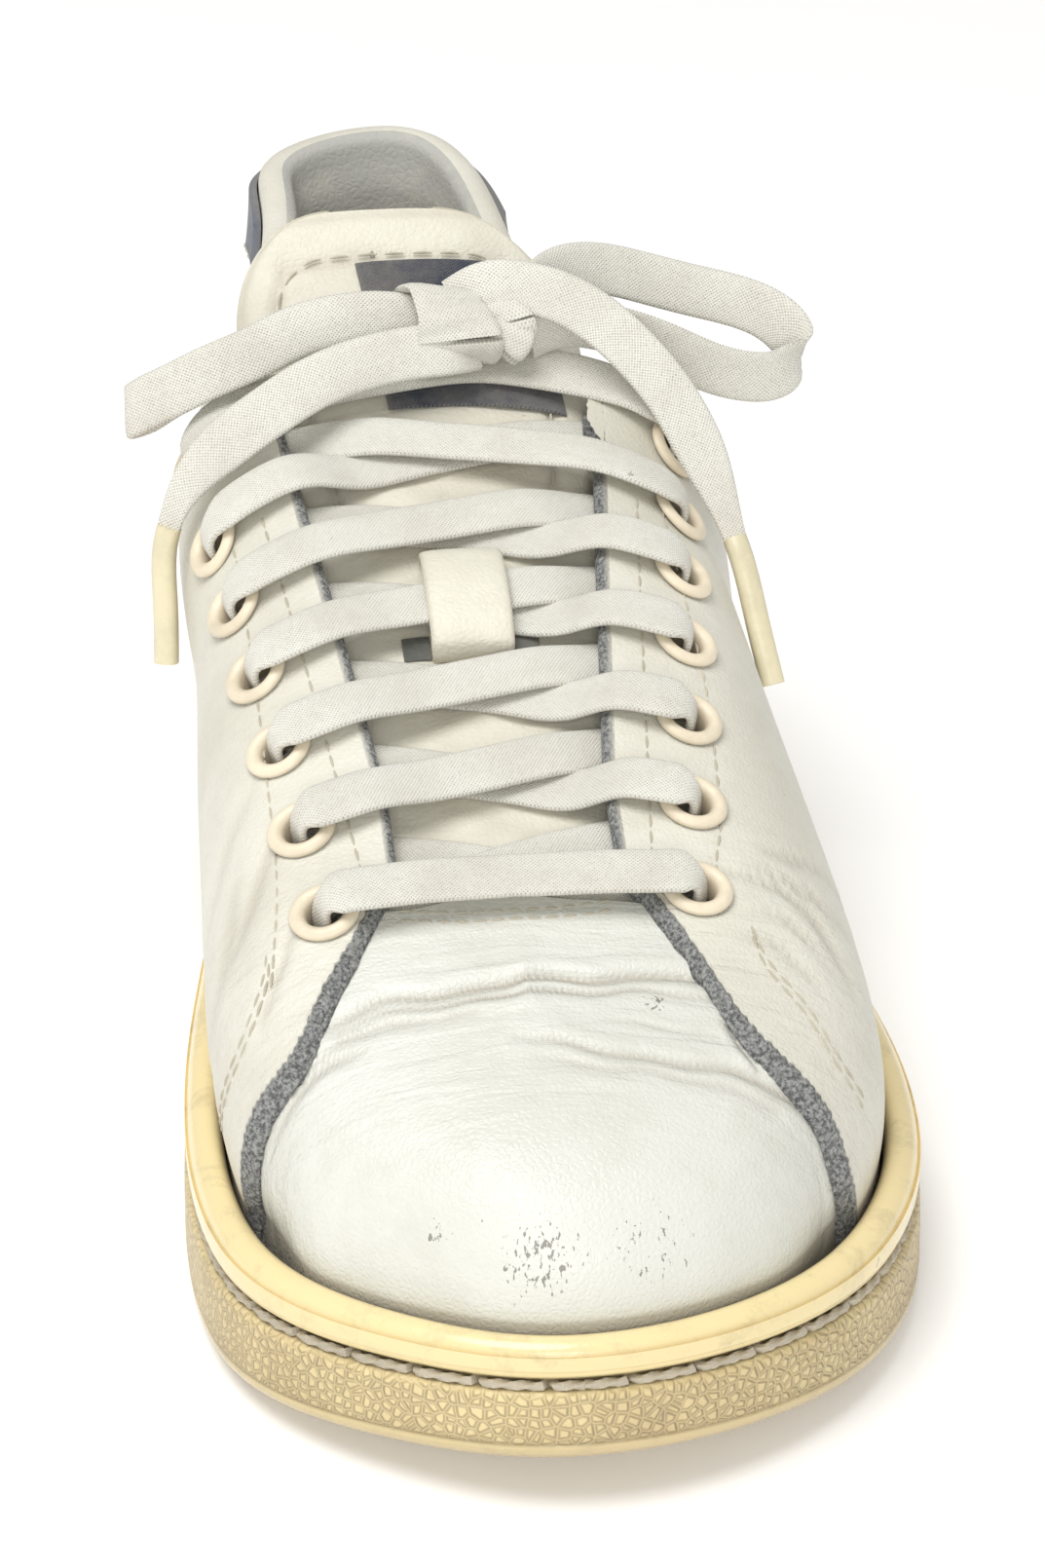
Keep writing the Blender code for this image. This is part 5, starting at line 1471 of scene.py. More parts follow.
SIDE_FOLDS = (
    (((28, 224.7), (37, 226.0), (42, 228.5), (45, 236.5)), 1.5, 0.50),
    (((33, 223.0), (40, 223.2), (46, 224.0)), 1.4, 0.42),
    (((36, 219.0), (42, 216.0), (48, 212.0)), 1.5, 0.36),
    (((30, 237.0), (35, 238.0), (40, 242.0)), 1.2, 0.35),
    (((33, 231.0), (38, 232.5), (43, 238.0)), 1.1, 0.25),
    (((-35, 210.4), (-39, 219.3), (-44, 228.0)), 1.8, 0.40),
    (((-41, 213.7), (-43.5, 223.2), (-46, 229.5)), 1.6, 0.30),
    (((-33, 229.0), (-37, 235.4), (-40, 243.3)), 1.3, 0.34),
    (((-38, 200.0), (-42, 206.0), (-46, 214.0)), 1.6, 0.26),
)


def bell(gap, width):
    return np.exp(-((gap / width) ** 2))


def crease_fields(points, lines):
    """Depth of the folds in metres, and a mask of their dark middles (painted shade), at points of the shoe.
    """
    plan = np.column_stack([points[:, 0], HEEL_CENTRE - points[:, 1]]) * 1000
    plan = plan + 0.30 * np.column_stack([np.sin(plan[:, 1] * 0.5), np.sin(plan[:, 0] * 0.55 + 1.1)])
    depth = np.zeros(len(plan))
    mask = np.zeros(len(plan))
    for route, width, deep in lines:
        route = smoothed(route, 60)
        gap = np.linalg.norm(plan[:, None] - route[None], axis=2)
        nearest = np.argmin(gap, axis=1)
        gap = gap[np.arange(len(plan)), nearest]
        fade = np.sin(np.pi * np.clip((nearest + 3) / 66, 0, 1)) ** 0.5
        depth += deep * fade * (bell(gap, width) - 0.42 * bell(gap - 1.9 * width, width))
        mask = np.maximum(mask, fade * bell(gap, 0.62 * width) * min(1.0, deep * 1.3))
    return depth / 1000, mask


# %% vamp
VAMP_COLUMNS = 110
VAMP_LEVELS = 140
VAMP_CROWDING = 0.85


def bottom_of(v, out):
    points = skin(v, 0.0 * v, out)
    share = np.clip((HEEL_CENTRE - points[..., 1]) / LENGTH, 0, 1)
    points[..., 2] = floor_height(share) + GAP
    return points


def height_up(grid):
    """Distance up the leather from the rim, at each point of its columns."""
    return np.cumsum(np.linalg.norm(np.diff(grid, axis=1, prepend=grid[:, :1]), axis=2), axis=1)


def make_vamp():
    half, levels = VAMP_COLUMNS, VAMP_LEVELS
    rise = np.linspace(0, 1, levels)
    back = place_of(smooth_curve(*table_of(VAMP_BACK))(rise))
    across = np.linspace(0, 1, half + 1)[:, None] ** VAMP_CROWDING
    v = np.vstack([back[:, 1] + (1 - back[:, 1]) * across,
                   (2 - back[:, 0] - (1 - back[:, 0]) * across)[-2::-1]])
    columns = len(v)
    s = np.broadcast_to(rise, v.shape)
    ridge = np.minimum(s, 0.9995)
    outer = skin(v, ridge, VAMP_OUT)
    inner = skin(v, ridge, -VAMP_IN)
    for grid in (outer, inner):
        grid[:, -1] = (grid[:, -1] + grid[::-1, -1]) / 2
    depth, mask = crease_fields(outer.reshape(-1, 3), CREASES)
    normal = last_normal(v, ridge)
    normal[:, -1] = unit(normal[:, -1] + normal[::-1, -1])
    fold = normal * depth.reshape(v.shape)[..., None]
    outer -= fold
    inner -= fold * 0.6
    points = [np.concatenate([bottom_of(v[:, 0], out)[:, None], grid], axis=1).reshape(-1, 3)
              for out, grid in ((VAMP_OUT, outer), (-VAMP_IN, inner))]
    rows = levels + 1
    index = np.arange(columns * rows).reshape(columns, rows)
    index[half + 1:, -1] = index[:half, -1][::-1]
    faces = []
    shift = columns * rows
    for start in (0, shift):
        for c in range(columns - 1):
            for r in range(rows - 1):
                face = [index[c, r], index[c + 1, r], index[c + 1, r + 1], index[c, r + 1]]
                face = [int(k) + start for i, k in enumerate(face) if k not in face[:i]]
                if len(face) > 2:
                    faces.append(face)
    for c in range(columns - 1):
        faces.append((index[c, 0], index[c, 0] + shift, index[c + 1, 0] + shift, index[c + 1, 0]))
    for c in (0, columns - 1):
        faces += [(index[c, r], index[c, r + 1], index[c, r + 1] + shift, index[c, r] + shift)
                  for r in range(rows - 1)]
    # painted shade in the creases' dark middles
    crease_shade = np.zeros((columns, rows))
    crease_shade[:, 1:] = mask.reshape(v.shape)
    # edge: painted shade along the foot of the vamp, against the sole's bead
    edge = np.ones((columns, rows))
    edge[:, 1:] = 1 - ease(height_up(outer), 0.0002, 0.0013)
    values = {"crease_shade": np.tile(crease_shade.ravel(), 2), "edge": np.tile(edge.ravel(), 2),
              "raw": np.repeat([0.0, 1.0], columns * rows)}
    return add_piece("upper_vamp", np.concatenate(points), faces, [TOE_LEATHER], values,
                     slot="upper_leather", replaced=["upper"])


vamp = make_vamp()
print("vamp has", len(vamp.data.polygons), "faces")

# %% quarters
EDGE_STEPS = (0.0, 0.0002, 0.0005, 0.0009, 0.0013, 0.0017, 0.0021, 0.0025, 0.0029, 0.0034, 0.0040,
              0.0050, 0.0063, 0.0078)
QUARTER_RUN = 0.225
FRONT_RUN = 0.075
BAND_WIDE = 0.0027
BAND_LIFT = 0.0004
TOOTH_PITCH = 0.0021
TOOTH_DEPTH = 0.0005
QUARTER_COLUMNS = 300
QUARTER_LEVELS = 118
INNER_LEVELS = 36


def collar_pad(v, rise):
    """Extra thickness inside the collar, from the ankle's height to the top edge."""
    share = share_of(v)
    along = 1 - ease(share, *PAD_SPAN)
    up = ease(rise, *PAD_RISE) * (1 - 0.35 * ease(rise, 0.86, 1.0))
    return COLLAR_PAD * along * up


def front_line(rise):
    """The cut front edges, with their small teeth."""
    front = smooth_curve(*table_of(QUARTER_FRONT))(rise)
    run = rise * FRONT_RUN
    tooth = np.abs((run / TOOTH_PITCH) % 1 * 2 - 1) - 0.5
    tooth = tooth + 0.35 * np.sin(run / 0.00071 + 1.3) * np.sin(run / 0.0031)
    return place_of(front + (tooth * TOOTH_DEPTH * ease(rise, 0.04, 0.12) / LENGTH)[:, None])


def quarter_places(levels):
    rise = np.linspace(0, 1, levels)
    front = front_line(rise)
    ends = 1 - np.array(EDGE_STEPS) / QUARTER_RUN
    middle = np.linspace(-ends[-1], ends[-1], QUARTER_COLUMNS)[1:-1]
    p = np.concatenate([-ends, middle, ends[::-1]])
    v = p[:, None] * np.where(p[:, None] < 0, front[:, 0], front[:, 1])
    top = top_share(v[:, -1])
    return p, v, rise[None, :] * top[:, None], rise


def make_quarters():
    """Both quarters: outer leather, a round top edge, and the lining down to the sole again."""
    p, v, s, rise = quarter_places(QUARTER_LEVELS)
    behind = (1 - np.abs(p)) * QUARTER_RUN
    step = VAMP_OUT + BAND_LIFT
    lift = step + (QUARTER_OUT - step) * np.clip(behind / BAND_WIDE, 0, 1)[:, None] ** 0.7
    outer = skin(v, s, lift + 0 * v)
    depth, crease_shade = crease_fields(outer.reshape(-1, 3), SIDE_FOLDS)
    outer -= last_normal(v, s) * depth.reshape(v.shape)[..., None]
    _, v_in, s_in, rise_in = quarter_places(INNER_LEVELS)
    inner = skin(v_in, s_in, -QUARTER_IN - collar_pad(v_in, rise_in[None, :]))
    up = unit(last(v[:, -1], s[:, -1]) - last(v[:, -1], s[:, -1] - 0.02))
    half = (outer[:, -1] - inner[:, -1]) / 2
    span = (outer[:, -1] + inner[:, -1]) / 2
    high = up * np.minimum(2 * np.linalg.norm(half, axis=1, keepdims=True) * CROWN_SHARE, CROWN_MOST)
    crown = [span + half * math.cos(a) + high * math.sin(a) for a in np.linspace(0, math.pi, 9)[1:-1]]
    low = [bottom_of(v[:, 0], out)[:, None] for out in (QUARTER_OUT, -QUARTER_IN)]
    rings = np.concatenate([low[0], outer, np.stack(crown, axis=1), inner[:, ::-1], low[1]], axis=1)
    columns, size = rings.shape[:2]
    faces = ring_faces(columns, size)
    faces += [list(range(size)), list(range((columns - 1) * size, columns * size))]
    top = 1 + QUARTER_LEVELS
    open_throat = share_of(v[:, -1]) > COLLAR_END
    shaded_crease, edge, raw, lining = np.zeros((4, columns, size))
    raw[:, 1:top] = 1 - ease(behind, 0.0025, 0.0030)[:, None]
    raw[open_throat, top:] = 1
    raw[:, top - 1] = np.maximum(raw[:, top - 1], 0.6 * open_throat)
    # painted shade in the folds' dark middles
    shaded_crease[:, 1:top] = crease_shade.reshape(v.shape)
    # edge: painted shade along the foot of the quarters, against the sole
    edge[:, 1:top] = 1 - ease(height_up(outer), 0.0004, 0.0020)
    lining[~open_throat, top + 4:] = 1
    lined = lining.ravel() > 0.5
    picks = [int(lined[f[0]] and lined[f[2]]) for f in faces]
    return add_piece("upper_quarters", rings.reshape(-1, 3), faces, [WHITE_LEATHER, LINING],
                     {"crease_shade": shaded_crease, "edge": edge, "raw": raw}, picks, slot="upper_leather",
                     replaced=["upper"])


quarters = make_quarters()
print("quarters have", len(quarters.data.polygons), "faces")

# %% punch the eyelet holes
PUNCH_SIDES = 28
PUNCH_SPAN = (-0.0065, 0.0040)


def hole_punch():
    """Fourteen short rods, one through each eyelet's place."""
    radius = EYELET_BORE + BARREL_WALL + GAP
    verts, faces = [], []
    sides = PUNCH_SIDES
    for side in (-1.0, 1.0):
        for row in range(1, ROWS + 1):
            point, axis = frame_at(row, side)
            spin = Vector(axis).to_track_quat("Z", "Y").to_matrix()
            start = len(verts)
            for height in PUNCH_SPAN:
                for turn in (2 * math.pi * k / sides for k in range(sides)):
                    local = Vector((radius * math.cos(turn), radius * math.sin(turn), height))
                    verts.append(Vector(point) + spin @ local)
            far = start + sides
            faces += [tuple(range(start, far)), tuple(range(far + sides - 1, far - 1, -1))]
            faces += [(start + k, start + (k + 1) % sides, far + (k + 1) % sides, far + k)
                      for k in range(sides)]
    mesh = bpy.data.meshes.new("hole_punch")
    mesh.from_pydata([tuple(p) for p in verts], [], faces)
    punch = bpy.data.objects.new("hole_punch", mesh)
    bpy.context.scene.collection.objects.link(punch)
    return punch


def punch_out(target):
    """Cuts the rods out of a piece, with its materials and values kept."""
    punch = hole_punch()
    bm = bmesh.new()
    bm.from_mesh(punch.data)
    bmesh.ops.recalc_face_normals(bm, faces=bm.faces)
    bm.to_mesh(punch.data)
    bm.free()
    modifier = target.modifiers.new("holes", "BOOLEAN")
    modifier.operation = "DIFFERENCE"
    modifier.solver = "MANIFOLD"
    modifier.object = punch
    bpy.context.view_layer.update()
    result = bpy.data.meshes.new_from_object(target.evaluated_get(bpy.context.evaluated_depsgraph_get()))
    before = len(target.data.polygons)
    target.modifiers.clear()
    target.data = result
    bpy.data.objects.remove(punch, do_unlink=True)
    print("holes punched:", before, "faces, now", len(result.polygons))


punch_out(quarters)

# %% [markdown]
# ## Tongue and small parts
# The tongue is padded and worn soft. Its keeper strap runs over it between two slits, drawn as dark
# sheets of painted shade, and its label is a bare dark patch. A navy patch covers the back of the collar.

# %% tongue
RIM_SEAM = 0.0075
def tongue_half(t):
    """Half width of the tongue, with round corners at its top."""
    half = TONGUE_FOOT / 2 + (TONGUE_WIDTH - TONGUE_FOOT) / 2 * ease(t, 0.35, 1.0)
    corner = np.clip((t - 0.86) / 0.14, 0, 1)
    return half * (0.30 + 0.70 * np.sqrt(np.clip(1 - corner**2.2, 0, 1)))


def tongue_points(t, e, depth):
    """Points of the tongue: t along, e from -1 to 1 across, depth under its top face."""
    t, e, depth = np.broadcast_arrays(t, e, depth)
    share = TONGUE_START + (BEND_SHARE - TONGUE_START) * np.minimum(t / TONGUE_BEND, 1.0)
    free = np.maximum((t - TONGUE_BEND) / (1 - TONGUE_BEND), 0.0)
    v, s = place_at(share, e * tongue_half(t))
    point = skin(v, s, -TONGUE_DEPTH - depth) + tongue_shift(free)
    point[..., 0] -= TONGUE_DRIFT * free**2
    return point


def closed_plate(name, top, low, materials, values=None, slot=None, replaced=(), bulge=0.5):
    """A plate between two grids of points, with a rounded rim."""
    top, low = np.asarray(top), np.asarray(low)
    rows, columns = top.shape[:2]
    verts = np.concatenate([top.reshape(-1, 3), low.reshape(-1, 3)])
    shift = rows * columns
    faces = [tuple(f) for f in grid_faces(rows, columns)]
    faces += [tuple(shift + k for k in f[::-1]) for f in grid_faces(rows, columns)]
    rim = [(0, j) for j in range(columns)] + [(i, columns - 1) for i in range(1, rows)]
    rim += [(rows - 1, j) for j in range(columns - 2, -1, -1)] + [(i, 0) for i in range(rows - 2, 0, -1)]
    ids = [i * columns + j for i, j in rim]
    middle = (top.reshape(-1, 3)[ids] + low.reshape(-1, 3)[ids]) / 2
    thick = np.linalg.norm(top.reshape(-1, 3)[ids] - low.reshape(-1, 3)[ids], axis=1, keepdims=True)
    inside = [(min(max(i, 1), rows - 2), min(max(j, 1), columns - 2)) for i, j in rim]
    away = unit(top.reshape(-1, 3)[ids] - top.reshape(-1, 3)[[i * columns + j for i, j in inside]])
    middle = middle + away * thick * bulge
    start = len(verts)
    verts = np.concatenate([verts, middle])
    count = len(ids)
    for k in range(count):
        m = (k + 1) % count
        faces.append((ids[k], ids[m], start + m, start + k))
        faces.append((start + k, start + m, shift + ids[m], shift + ids[k]))
    full = {}
    for key, grid in (values or {}).items():
        grid = np.broadcast_to(grid, (rows, columns)).ravel()
        full[key] = np.concatenate([grid, grid, grid[ids]])
    return add_piece(name, verts, faces, materials, full, slot=slot, replaced=replaced)


def make_tongue():
    """The padded tongue, with a sewn line inside its rim and small wrinkles."""
    tip = 0.86 + 0.14 * np.sin(np.linspace(0, math.pi / 2, 34))[1:]
    t = np.concatenate([np.linspace(0, 0.86, 130), tip])[:, None]
    e = 0.55 * np.sin(np.linspace(-math.pi / 2, math.pi / 2, 61)) + 0.45 * np.linspace(-1, 1, 61)
    e = e[None, :]
    swell = 0.25 + 0.75 * ease(t, 0.12, 0.40)
    edge = 1 - 0.72 * np.abs(e) ** 3
    thick = TONGUE_THICK * swell * edge * (1 - 0.55 * ease(t, 0.94, 1.0))
    rim = np.minimum((1 - np.abs(e)) * tongue_half(t), (1 - t) * 0.13)
    padded = ease(t, 0.55, 0.65)
    soft = 0.0007 * bell(rim - RIM_SEAM, 0.0012) * padded
    wrinkle = 0.0003 * np.sin(e * 9 + 3 * np.sin(t * 31)) * np.sin(t * 43)
    round_off = 0.0011 * (1 - ease(rim, 0.0, 0.0026)) * padded
    top = tongue_points(t, e, soft + wrinkle * ease(rim, 0.002, 0.006) + round_off)
    low = tongue_points(t, e, thick + 0 * e)
    # painted shade along the groove of the sewn line
    shaded_crease = 0.4 * bell(rim - RIM_SEAM, 0.0005) * padded
    return closed_plate("tongue_leather", top, low, [TONGUE_LEATHER],
                        {"crease_shade": shaded_crease, "edge": 0.25 * (1 - ease(rim, 0.0, 0.004)), "raw": 0.0},
                        slot="tongue_leather", replaced=["tongue"])


def on_tongue(name, ends, width, thick, finish, arch=0.0, shift=0.0, slot=None, replaced=(), values=None):
    """A thin plate on the tongue's top face, raised by arch in its middle."""
    i = np.linspace(0, 1, 60)[:, None]
    t = ends[0] + (ends[1] - ends[0]) * i
    across = np.linspace(-1, 1, 29)[None, :]
    e = (across * width / 2 + shift) / tongue_half(t)
    low = -GAP - arch * np.sin(math.pi * i) ** ARCH_POWER
    soft = 0.35 * thick * np.abs(across) ** 6
    top = tongue_points(t, e, low - thick + soft)
    values = {"crease_shade": 0.0, "raw": 0.0, "edge": 0.4 * np.abs(across) ** 14 + 0 * i,
              "along": i * 0.045 + 0 * across, "across": across * width / 2 + 0 * i}
    return closed_plate(name, top, tongue_points(t, e, low), [finish], values, slot=slot,
                        replaced=replaced, bulge=0.3)


make_tongue()
on_tongue("keeper_strap", KEEPER_ENDS, KEEPER_WIDTH, KEEPER_THICK, TONGUE_LEATHER, KEEPER_ARCH,
          slot="tongue_leather", replaced=["lace_keeper"])
on_tongue("label_patch", LABEL_ENDS, LABEL_WIDTH, LABEL_THICK, LABEL, shift=LABEL_SHIFT,
          slot="label_woven", replaced=["tongue_label"])
# two dark sheets beside the keeper strap: painted shade where the slits open under it
SLIT_ENDS = (KEEPER_ENDS[0] + 0.004, KEEPER_ENDS[0] + 0.034)
SLIT_REACH = 0.0042
SLIT_THICK = 0.0002
for label, side in (("inner", -1), ("outer", 1)):
    on_tongue(f"keeper_slit_shade_{label}", SLIT_ENDS, SLIT_REACH, SLIT_THICK, SLIT_SHADE,
              shift=side * (KEEPER_WIDTH / 2 + SLIT_REACH * 0.55), slot="tongue_leather",
              replaced=["lace_keeper"])

# %% heel tab and insole
def make_heel_tab():
    p = np.linspace(-1, 1, 121)
    edge = smooth_curve(*table_of(TAB_EDGE))(np.abs(p))
    rise = np.linspace(0, 1, 60)[None, :]
    v = (p * float(place_of(TAB_REACH / LENGTH)))[:, None] + 0 * rise
    s = edge + (TAB_TOP - edge) * rise
    border = np.minimum((1 - np.abs(p))[:, None] * 0.042, np.minimum(rise, 1 - rise) * 0.028)
    soft = 0.0009 * (1 - ease(border, 0.0, 0.0014))
    top = skin(v, s, QUARTER_OUT + GAP + TAB_THICK - soft)
    return closed_plate("heel_patch", top, skin(v, s, QUARTER_OUT + GAP), [NAVY_LEATHER],
                        {"crease_shade": 0.0, "raw": 0.0, "edge": 0.3 * (1 - ease(border, 0, 0.0012))},
                        slot="heel_tab_leather", replaced=["heel_tab"], bulge=0.2)


def make_sock():
    half = 90
    v = np.linspace(0, 1, half + 1)[1:-1]
    inset = feather_inset(v) + VAMP_IN + 2 * GAP
    right, _ = outline(v, -inset)
    left, _ = outline(-v, -(feather_inset(-v) + VAMP_IN + 2 * GAP))
    share = np.linspace(0, 1, 33)[None, :, None]
    plan = left[:, None] + (right - left)[:, None] * share
    here = np.clip(plan[..., 1] / LENGTH, 0, 1)
    low = np.concatenate([plan, (floor_height(here) + GAP)[..., None]], axis=2)
    dish = 0.0012 * (1 - (2 * share[..., 0] - 1) ** 2)
    high = low + np.stack([0 * here, 0 * here, INSOLE_THICK - dish + 0 * here], axis=2)
    return closed_plate("insole_sock", world(high), world(low), [SOCK],
                        {"along": plan[..., 1], "across": plan[..., 0], "edge": 0.2}, slot="insole_cloth",
                        replaced=["insole"], bulge=0.0)


make_heel_tab()
make_sock()

# %% eyelets
EYELET_PROFILE = (
    (EYELET_BORE, -0.0028), (EYELET_BORE + BARREL_WALL, -0.0028), (EYELET_BORE + BARREL_WALL, 0.0003),
    (EYELET_RADIUS - 0.0001, 0.0003), (EYELET_RADIUS, 0.0006), (EYELET_RADIUS - 0.0002, 0.0010),
    (EYELET_RADIUS - 0.0007, 0.0014), (EYELET_RADIUS - 0.0013, 0.0016), (EYELET_BORE + 0.0008, 0.0013),
    (EYELET_BORE + 0.0004, 0.0010), (EYELET_BORE + 0.0001, 0.0004), (EYELET_BORE, -0.0004),
)
RING_SIDES = 48
# painted shade along the ring's profile: dark down the bore and under the flange, clear on the top
RING_SHADE = (1, 1, 0.8, 0.7, 0.2, 0, 0, 0, 0.1, 0.3, 0.8, 1.0)


def make_eyelet(name, row, side):
    point, axis = frame_at(row, side)
    spin = np.array(Vector(axis).to_track_quat("Z", "Y").to_matrix())
    turn = np.linspace(0, 2 * math.pi, RING_SIDES, endpoint=False)
    r, h = np.array(EYELET_PROFILE).T
    local = np.stack([np.cos(turn)[:, None] * r, np.sin(turn)[:, None] * r, h + 0 * turn[:, None]], axis=-1)
    verts = (point + local @ spin.T).reshape(-1, 3)
    size = len(r)
    faces = []
    for k in range(RING_SIDES):
        here, there = k * size, (k + 1) % RING_SIDES * size
        faces += [(here + j, here + (j + 1) % size, there + (j + 1) % size, there + j)
                  for j in range(size)]
    return add_piece(name.replace("eyelet", "ring"), verts, faces, [RING],
                     {"edge": np.tile(RING_SHADE, RING_SIDES)}, slot="eyelet_plastic", replaced=[name])


for label, side in (("inner", -1.0), ("outer", 1.0)):
    for row in range(1, ROWS + 1):
        make_eyelet(f"eyelet_{label}_{row}", row, side)
print("eyelets:", 2 * ROWS)

# %% [markdown]
# ## Stitches
# Rows of single threads follow lines on the leather. Each stitch is a small grain of thread, sunk
# at both ends, turned along its line. One mesh holds each row.

# %% a row of stitches
STITCH_LONG = 0.0026
STITCH_GAP = 0.0006
STITCH_RADIUS = 0.00023
STITCH_RINGS = 7
STITCH_SIDES = 7


def stitch_row(name, line, normal, slot, replaced, long=STITCH_LONG, gap=STITCH_GAP):
    """Threads along a line of points with the leather's normals there."""
    line, normal = spaced(np.asarray(line), 0.0001, np.asarray(normal))
    run = along_line(line)
    share = np.linspace(0, 1, STITCH_RINGS)
    swell = np.sin(np.pi * (0.06 + 0.88 * share)) ** 0.55
    radius = STITCH_RADIUS * swell[:, None]
    rise = (STITCH_RADIUS * (0.9 * swell - 0.55))[:, None]
    verts, faces = [], []
    for k in range(int(run[-1] / (long + gap))):
        at = k * (long + gap) + long * share
        up = unit(read_at(at, run, normal))
        middle = read_at(at, run, line) + up * rise
        side = unit(np.cross(unit(np.gradient(middle, axis=0)), up))
        corners, quads = tube(rings_round(middle, side, up, radius, STITCH_SIDES), len(verts))
        verts.extend(corners)
        faces += quads
    return add_piece(name, np.array(verts), faces, [THREAD], {"edge": np.zeros(len(verts))},
                     slot=slot, replaced=replaced)


def leather_line(stations, heights, side, out):
    """A line on the leather through (share of the length at the rim, share of the way up)."""
    station, s = smoothed(np.column_stack([stations, heights]), 260).T
    v = side * place_of(station)
    return skin(v, s, out), last_normal(v, s)


def line_near(points, out):
    """A line on the leather through points given as (x, distance from the heel) in mm."""
    rows = smoothed(points, 200) / 1000
    v, s = place_at(rows[:, 1] / LENGTH, rows[:, 0] - THROAT_SHIFT)
    return skin(v, s, out), last_normal(v, s)


def line_through(points, side, out):
    """A line on the leather through places given as (x, distance from the heel, height) in mm."""
    wanted = np.array(points, float) / 1000
    wanted[:, 1] = HEEL_CENTRE - wanted[:, 1]
    v, s = np.meshgrid(side * np.linspace(0.55, 0.98, 260), np.linspace(0.02, 0.98, 160), indexing="ij")
    grid = skin(v, s, QUARTER_OUT).reshape(-1, 3)
    found = [int(np.argmin(np.linalg.norm(grid - p, axis=1))) for p in wanted]
    v, s = smoothed(np.column_stack([v.ravel()[found], s.ravel()[found]]), 200).T
    return skin(v, s, out), last_normal(v, s)


# %% sew the upper
LEATHER = ("upper_leather", ["upper"])
stitch_row("stitch_eyestay_inner", *leather_line((0.50, 0.56, 0.614, 0.677, 0.748, 0.790, 0.822, 0.836),
           (0.55, 0.54, 0.54, 0.53, 0.52, 0.50, 0.45, 0.41), -1.0, QUARTER_OUT), *LEATHER)
stitch_row("stitch_eyestay_outer", *leather_line((0.50, 0.56, 0.614, 0.677, 0.730, 0.770, 0.805, 0.835),
           (0.57, 0.56, 0.56, 0.56, 0.57, 0.58, 0.60, 0.57), 1.0, QUARTER_OUT), *LEATHER)
SEAM_INNER = ((-38.4, 233, 53.8), (-39.5, 237.4, 51.6), (-43, 242.7, 45.3), (-45.7, 241.9, 36.6),
              (-45.5, 237.4, 27.6))
SEAM_OUTER = ((30.8, 236, 55.5), (32.5, 242.4, 52.7), (37.1, 248.2, 48.4), (40.7, 253.6, 43.2),
              (44.8, 255.1, 35.6))
for label, side, seam in (("inner", -1.0, SEAM_INNER), ("outer", 1.0, SEAM_OUTER)):
    for shift in (-0.9, 0.9):
        moved = [(x, a + shift, z) for x, a, z in seam]
        stitch_row(f"stitch_seam_{label}_{'back' if shift < 0 else 'front'}",
                   *line_through(moved, side, QUARTER_OUT), *LEATHER)
for label, a in (("back", 230.2), ("front", 232.0)):
    arc = [(-19, a - 1.5), (-11, a - 0.3), (-3, a), (6, a - 0.3), (13, a - 1.5)]
    stitch_row(f"stitch_vamp_{label}", *line_near(arc, VAMP_OUT), *LEATHER, long=0.0020)
for label, side in (("inner", -1.0), ("outer", 1.0)):
    share = np.linspace(THROAT_ENDS[0] - 0.005, 0.49, 200)
    v, s = place_at(share, side * (throat_half(share) + 0.0034))
    stitch_row(f"stitch_throat_{label}", skin(v, s, QUARTER_OUT), last_normal(v, s), *LEATHER)

# %% sew the tongue, the keeper and the heel tab
SEW_IN = 0.0078
SEW_TOP = 0.90
SEW_BEND = 0.045


def tongue_seam():
    """Up one side of the tongue, round under its tip and down the other side."""
    left = [(t, SEW_IN / tongue_half(t) - 1) for t in np.linspace(0.58, SEW_TOP, 60)]
    corner = np.linspace(0, math.pi / 2, 20)[1:]
    bend = [(SEW_TOP + SEW_BEND * math.sin(c), left[-1][1] * (1 - 0.35 * (1 - math.cos(c))))
            for c in corner]
    top = [(SEW_TOP + SEW_BEND, e) for e in np.linspace(bend[-1][1], -bend[-1][1], 30)[1:-1]]
    rows = np.array(left + bend + top + [(t, -e) for t, e in (left + bend)[::-1]])
    line = tongue_points(rows[:, 0], rows[:, 1], -0.0001)
    return line, tongue_points(rows[:, 0], rows[:, 1], -0.0020) - line


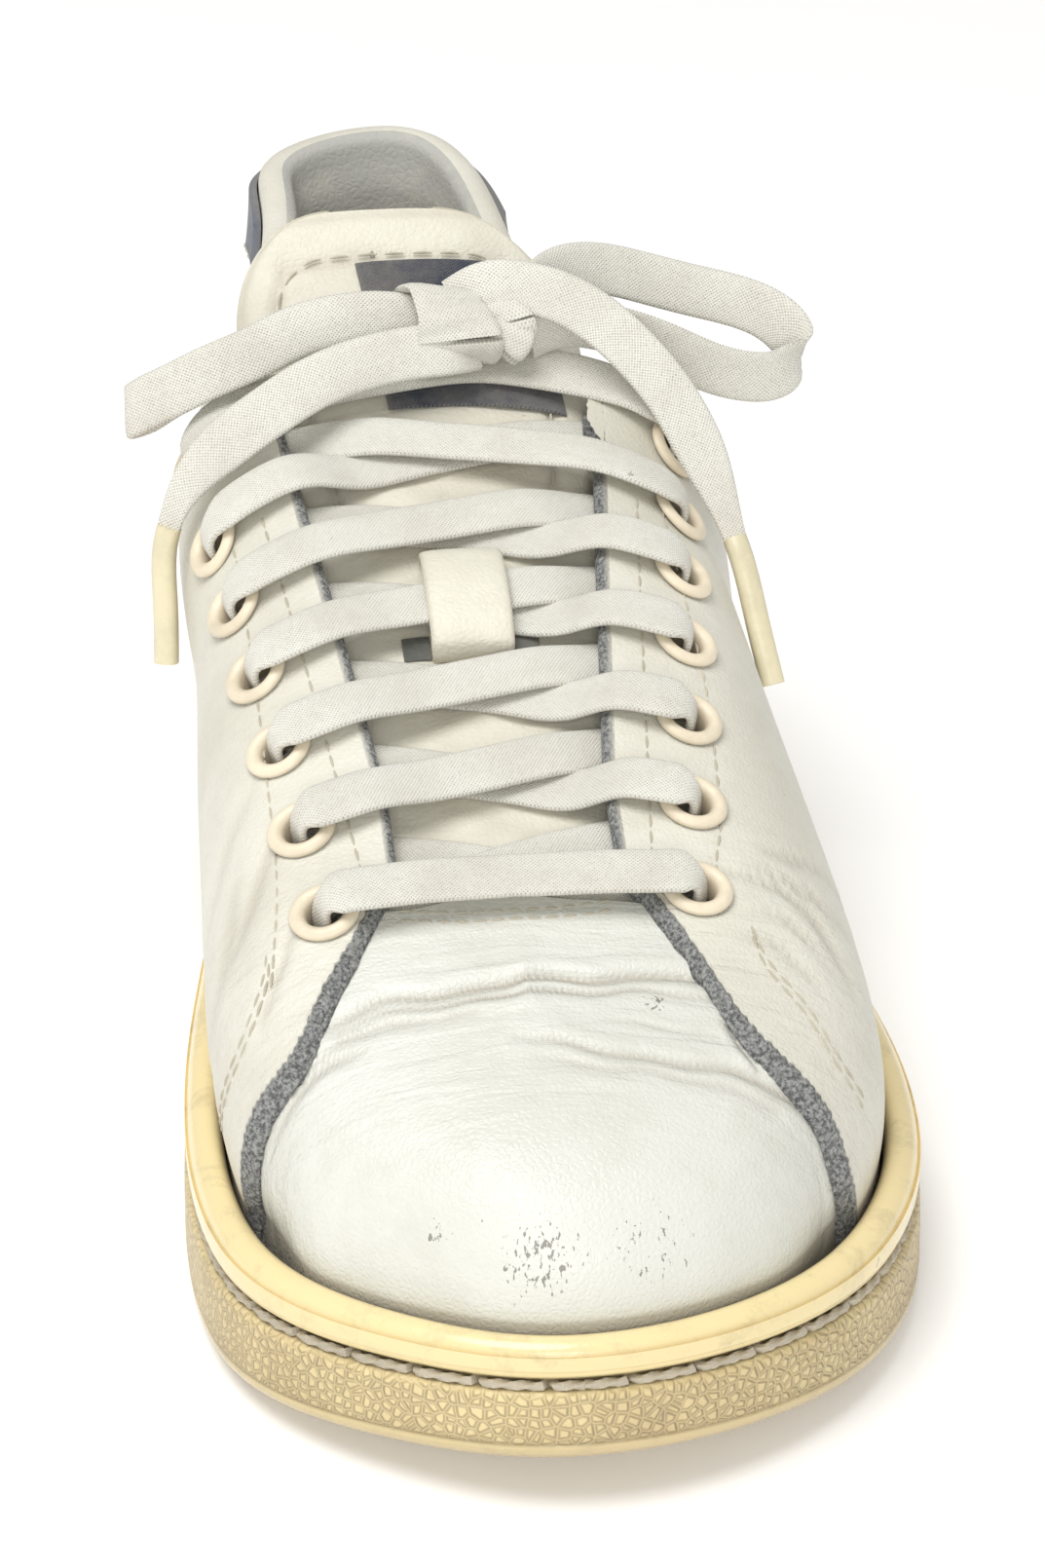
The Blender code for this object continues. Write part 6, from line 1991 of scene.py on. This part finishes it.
stitch_row("stitch_tongue", *tongue_seam(), "tongue_leather", ["tongue"], long=0.0030, gap=0.0014)
across = np.linspace(-1, 1, 60)
above = -GAP - KEEPER_THICK - KEEPER_ARCH * 0.35
for label, t in (("low", KEEPER_ENDS[0] + 0.004), ("high", KEEPER_ENDS[1] - 0.004)):
    e = across * KEEPER_WIDTH * 0.42 / tongue_half(t)
    line, high = [tongue_points(t + 0 * e, e, depth) for depth in (above, above - 0.002)]
    stitch_row(f"stitch_keeper_{label}", line, high - line, "tongue_leather", ["lace_keeper"], long=0.0018)
p = np.linspace(-0.93, 0.93, 300)
v = p * float(place_of(TAB_REACH / LENGTH))
low_edge = smooth_curve(*table_of(TAB_EDGE))(np.abs(p))[..., 0]
s = low_edge + (TAB_TOP - low_edge) * 0.07
stitch_row("stitch_heel_patch", skin(v, s, QUARTER_OUT + GAP + TAB_THICK), last_normal(v, s),
           "heel_tab_leather", ["heel_tab"])

# %% [markdown]
# ## Studio
# A pale floor that runs far back, a large soft light overhead and a little from the front, as in a
# product photograph on white.

# %% floor and light
floor_mesh = bpy.data.meshes.new("floor")
FLOOR_SIZE = 6.0
corners = [(FLOOR_SIZE * x, FLOOR_SIZE * y, 0) for x, y in ((-1, -1), (1, -1), (1, 1), (-1, 1))]
floor_mesh.from_pydata(corners, [], [(0, 1, 2, 3)])
floor_finish, _, floor_shader, _ = finish_of("floor_paper", 0.9, (0.93, 0.925, 0.915))
floor_shader.inputs["Emission Color"].default_value = (1, 1, 1, 1)
floor_shader.inputs["Emission Strength"].default_value = 0.16
floor_mesh.materials.append(floor_finish)
floor = bpy.data.objects.new("floor", floor_mesh)
bpy.context.scene.collection.objects.link(floor)


def area_light(name, place, aim, size, power):
    lamp = bpy.data.lights.new(name, "AREA")
    lamp.shape = "DISK"
    lamp.size = size
    lamp.energy = power
    made = bpy.data.objects.new(name, lamp)
    made.location = place
    made.rotation_euler = (Vector(aim) - Vector(place)).to_track_quat("-Z", "Y").to_euler()
    bpy.context.scene.collection.objects.link(made)


area_light("softbox_top", (-0.35, -0.45, 1.30), (0, -0.10, 0.03), 0.9, 12.5)
area_light("softbox_front", (-0.15, -1.60, 0.62), (0, -0.12, 0.04), 0.8, 6.5)
world_light = bpy.data.worlds.new("studio")
world_light.use_nodes = True
sky = world_light.node_tree.nodes["Background"]
sky.inputs["Color"].default_value = (1.0, 0.995, 0.985, 1)
sky.inputs["Strength"].default_value = 0.50
bpy.context.scene.world = world_light
bpy.context.scene.view_settings.view_transform = "Standard"
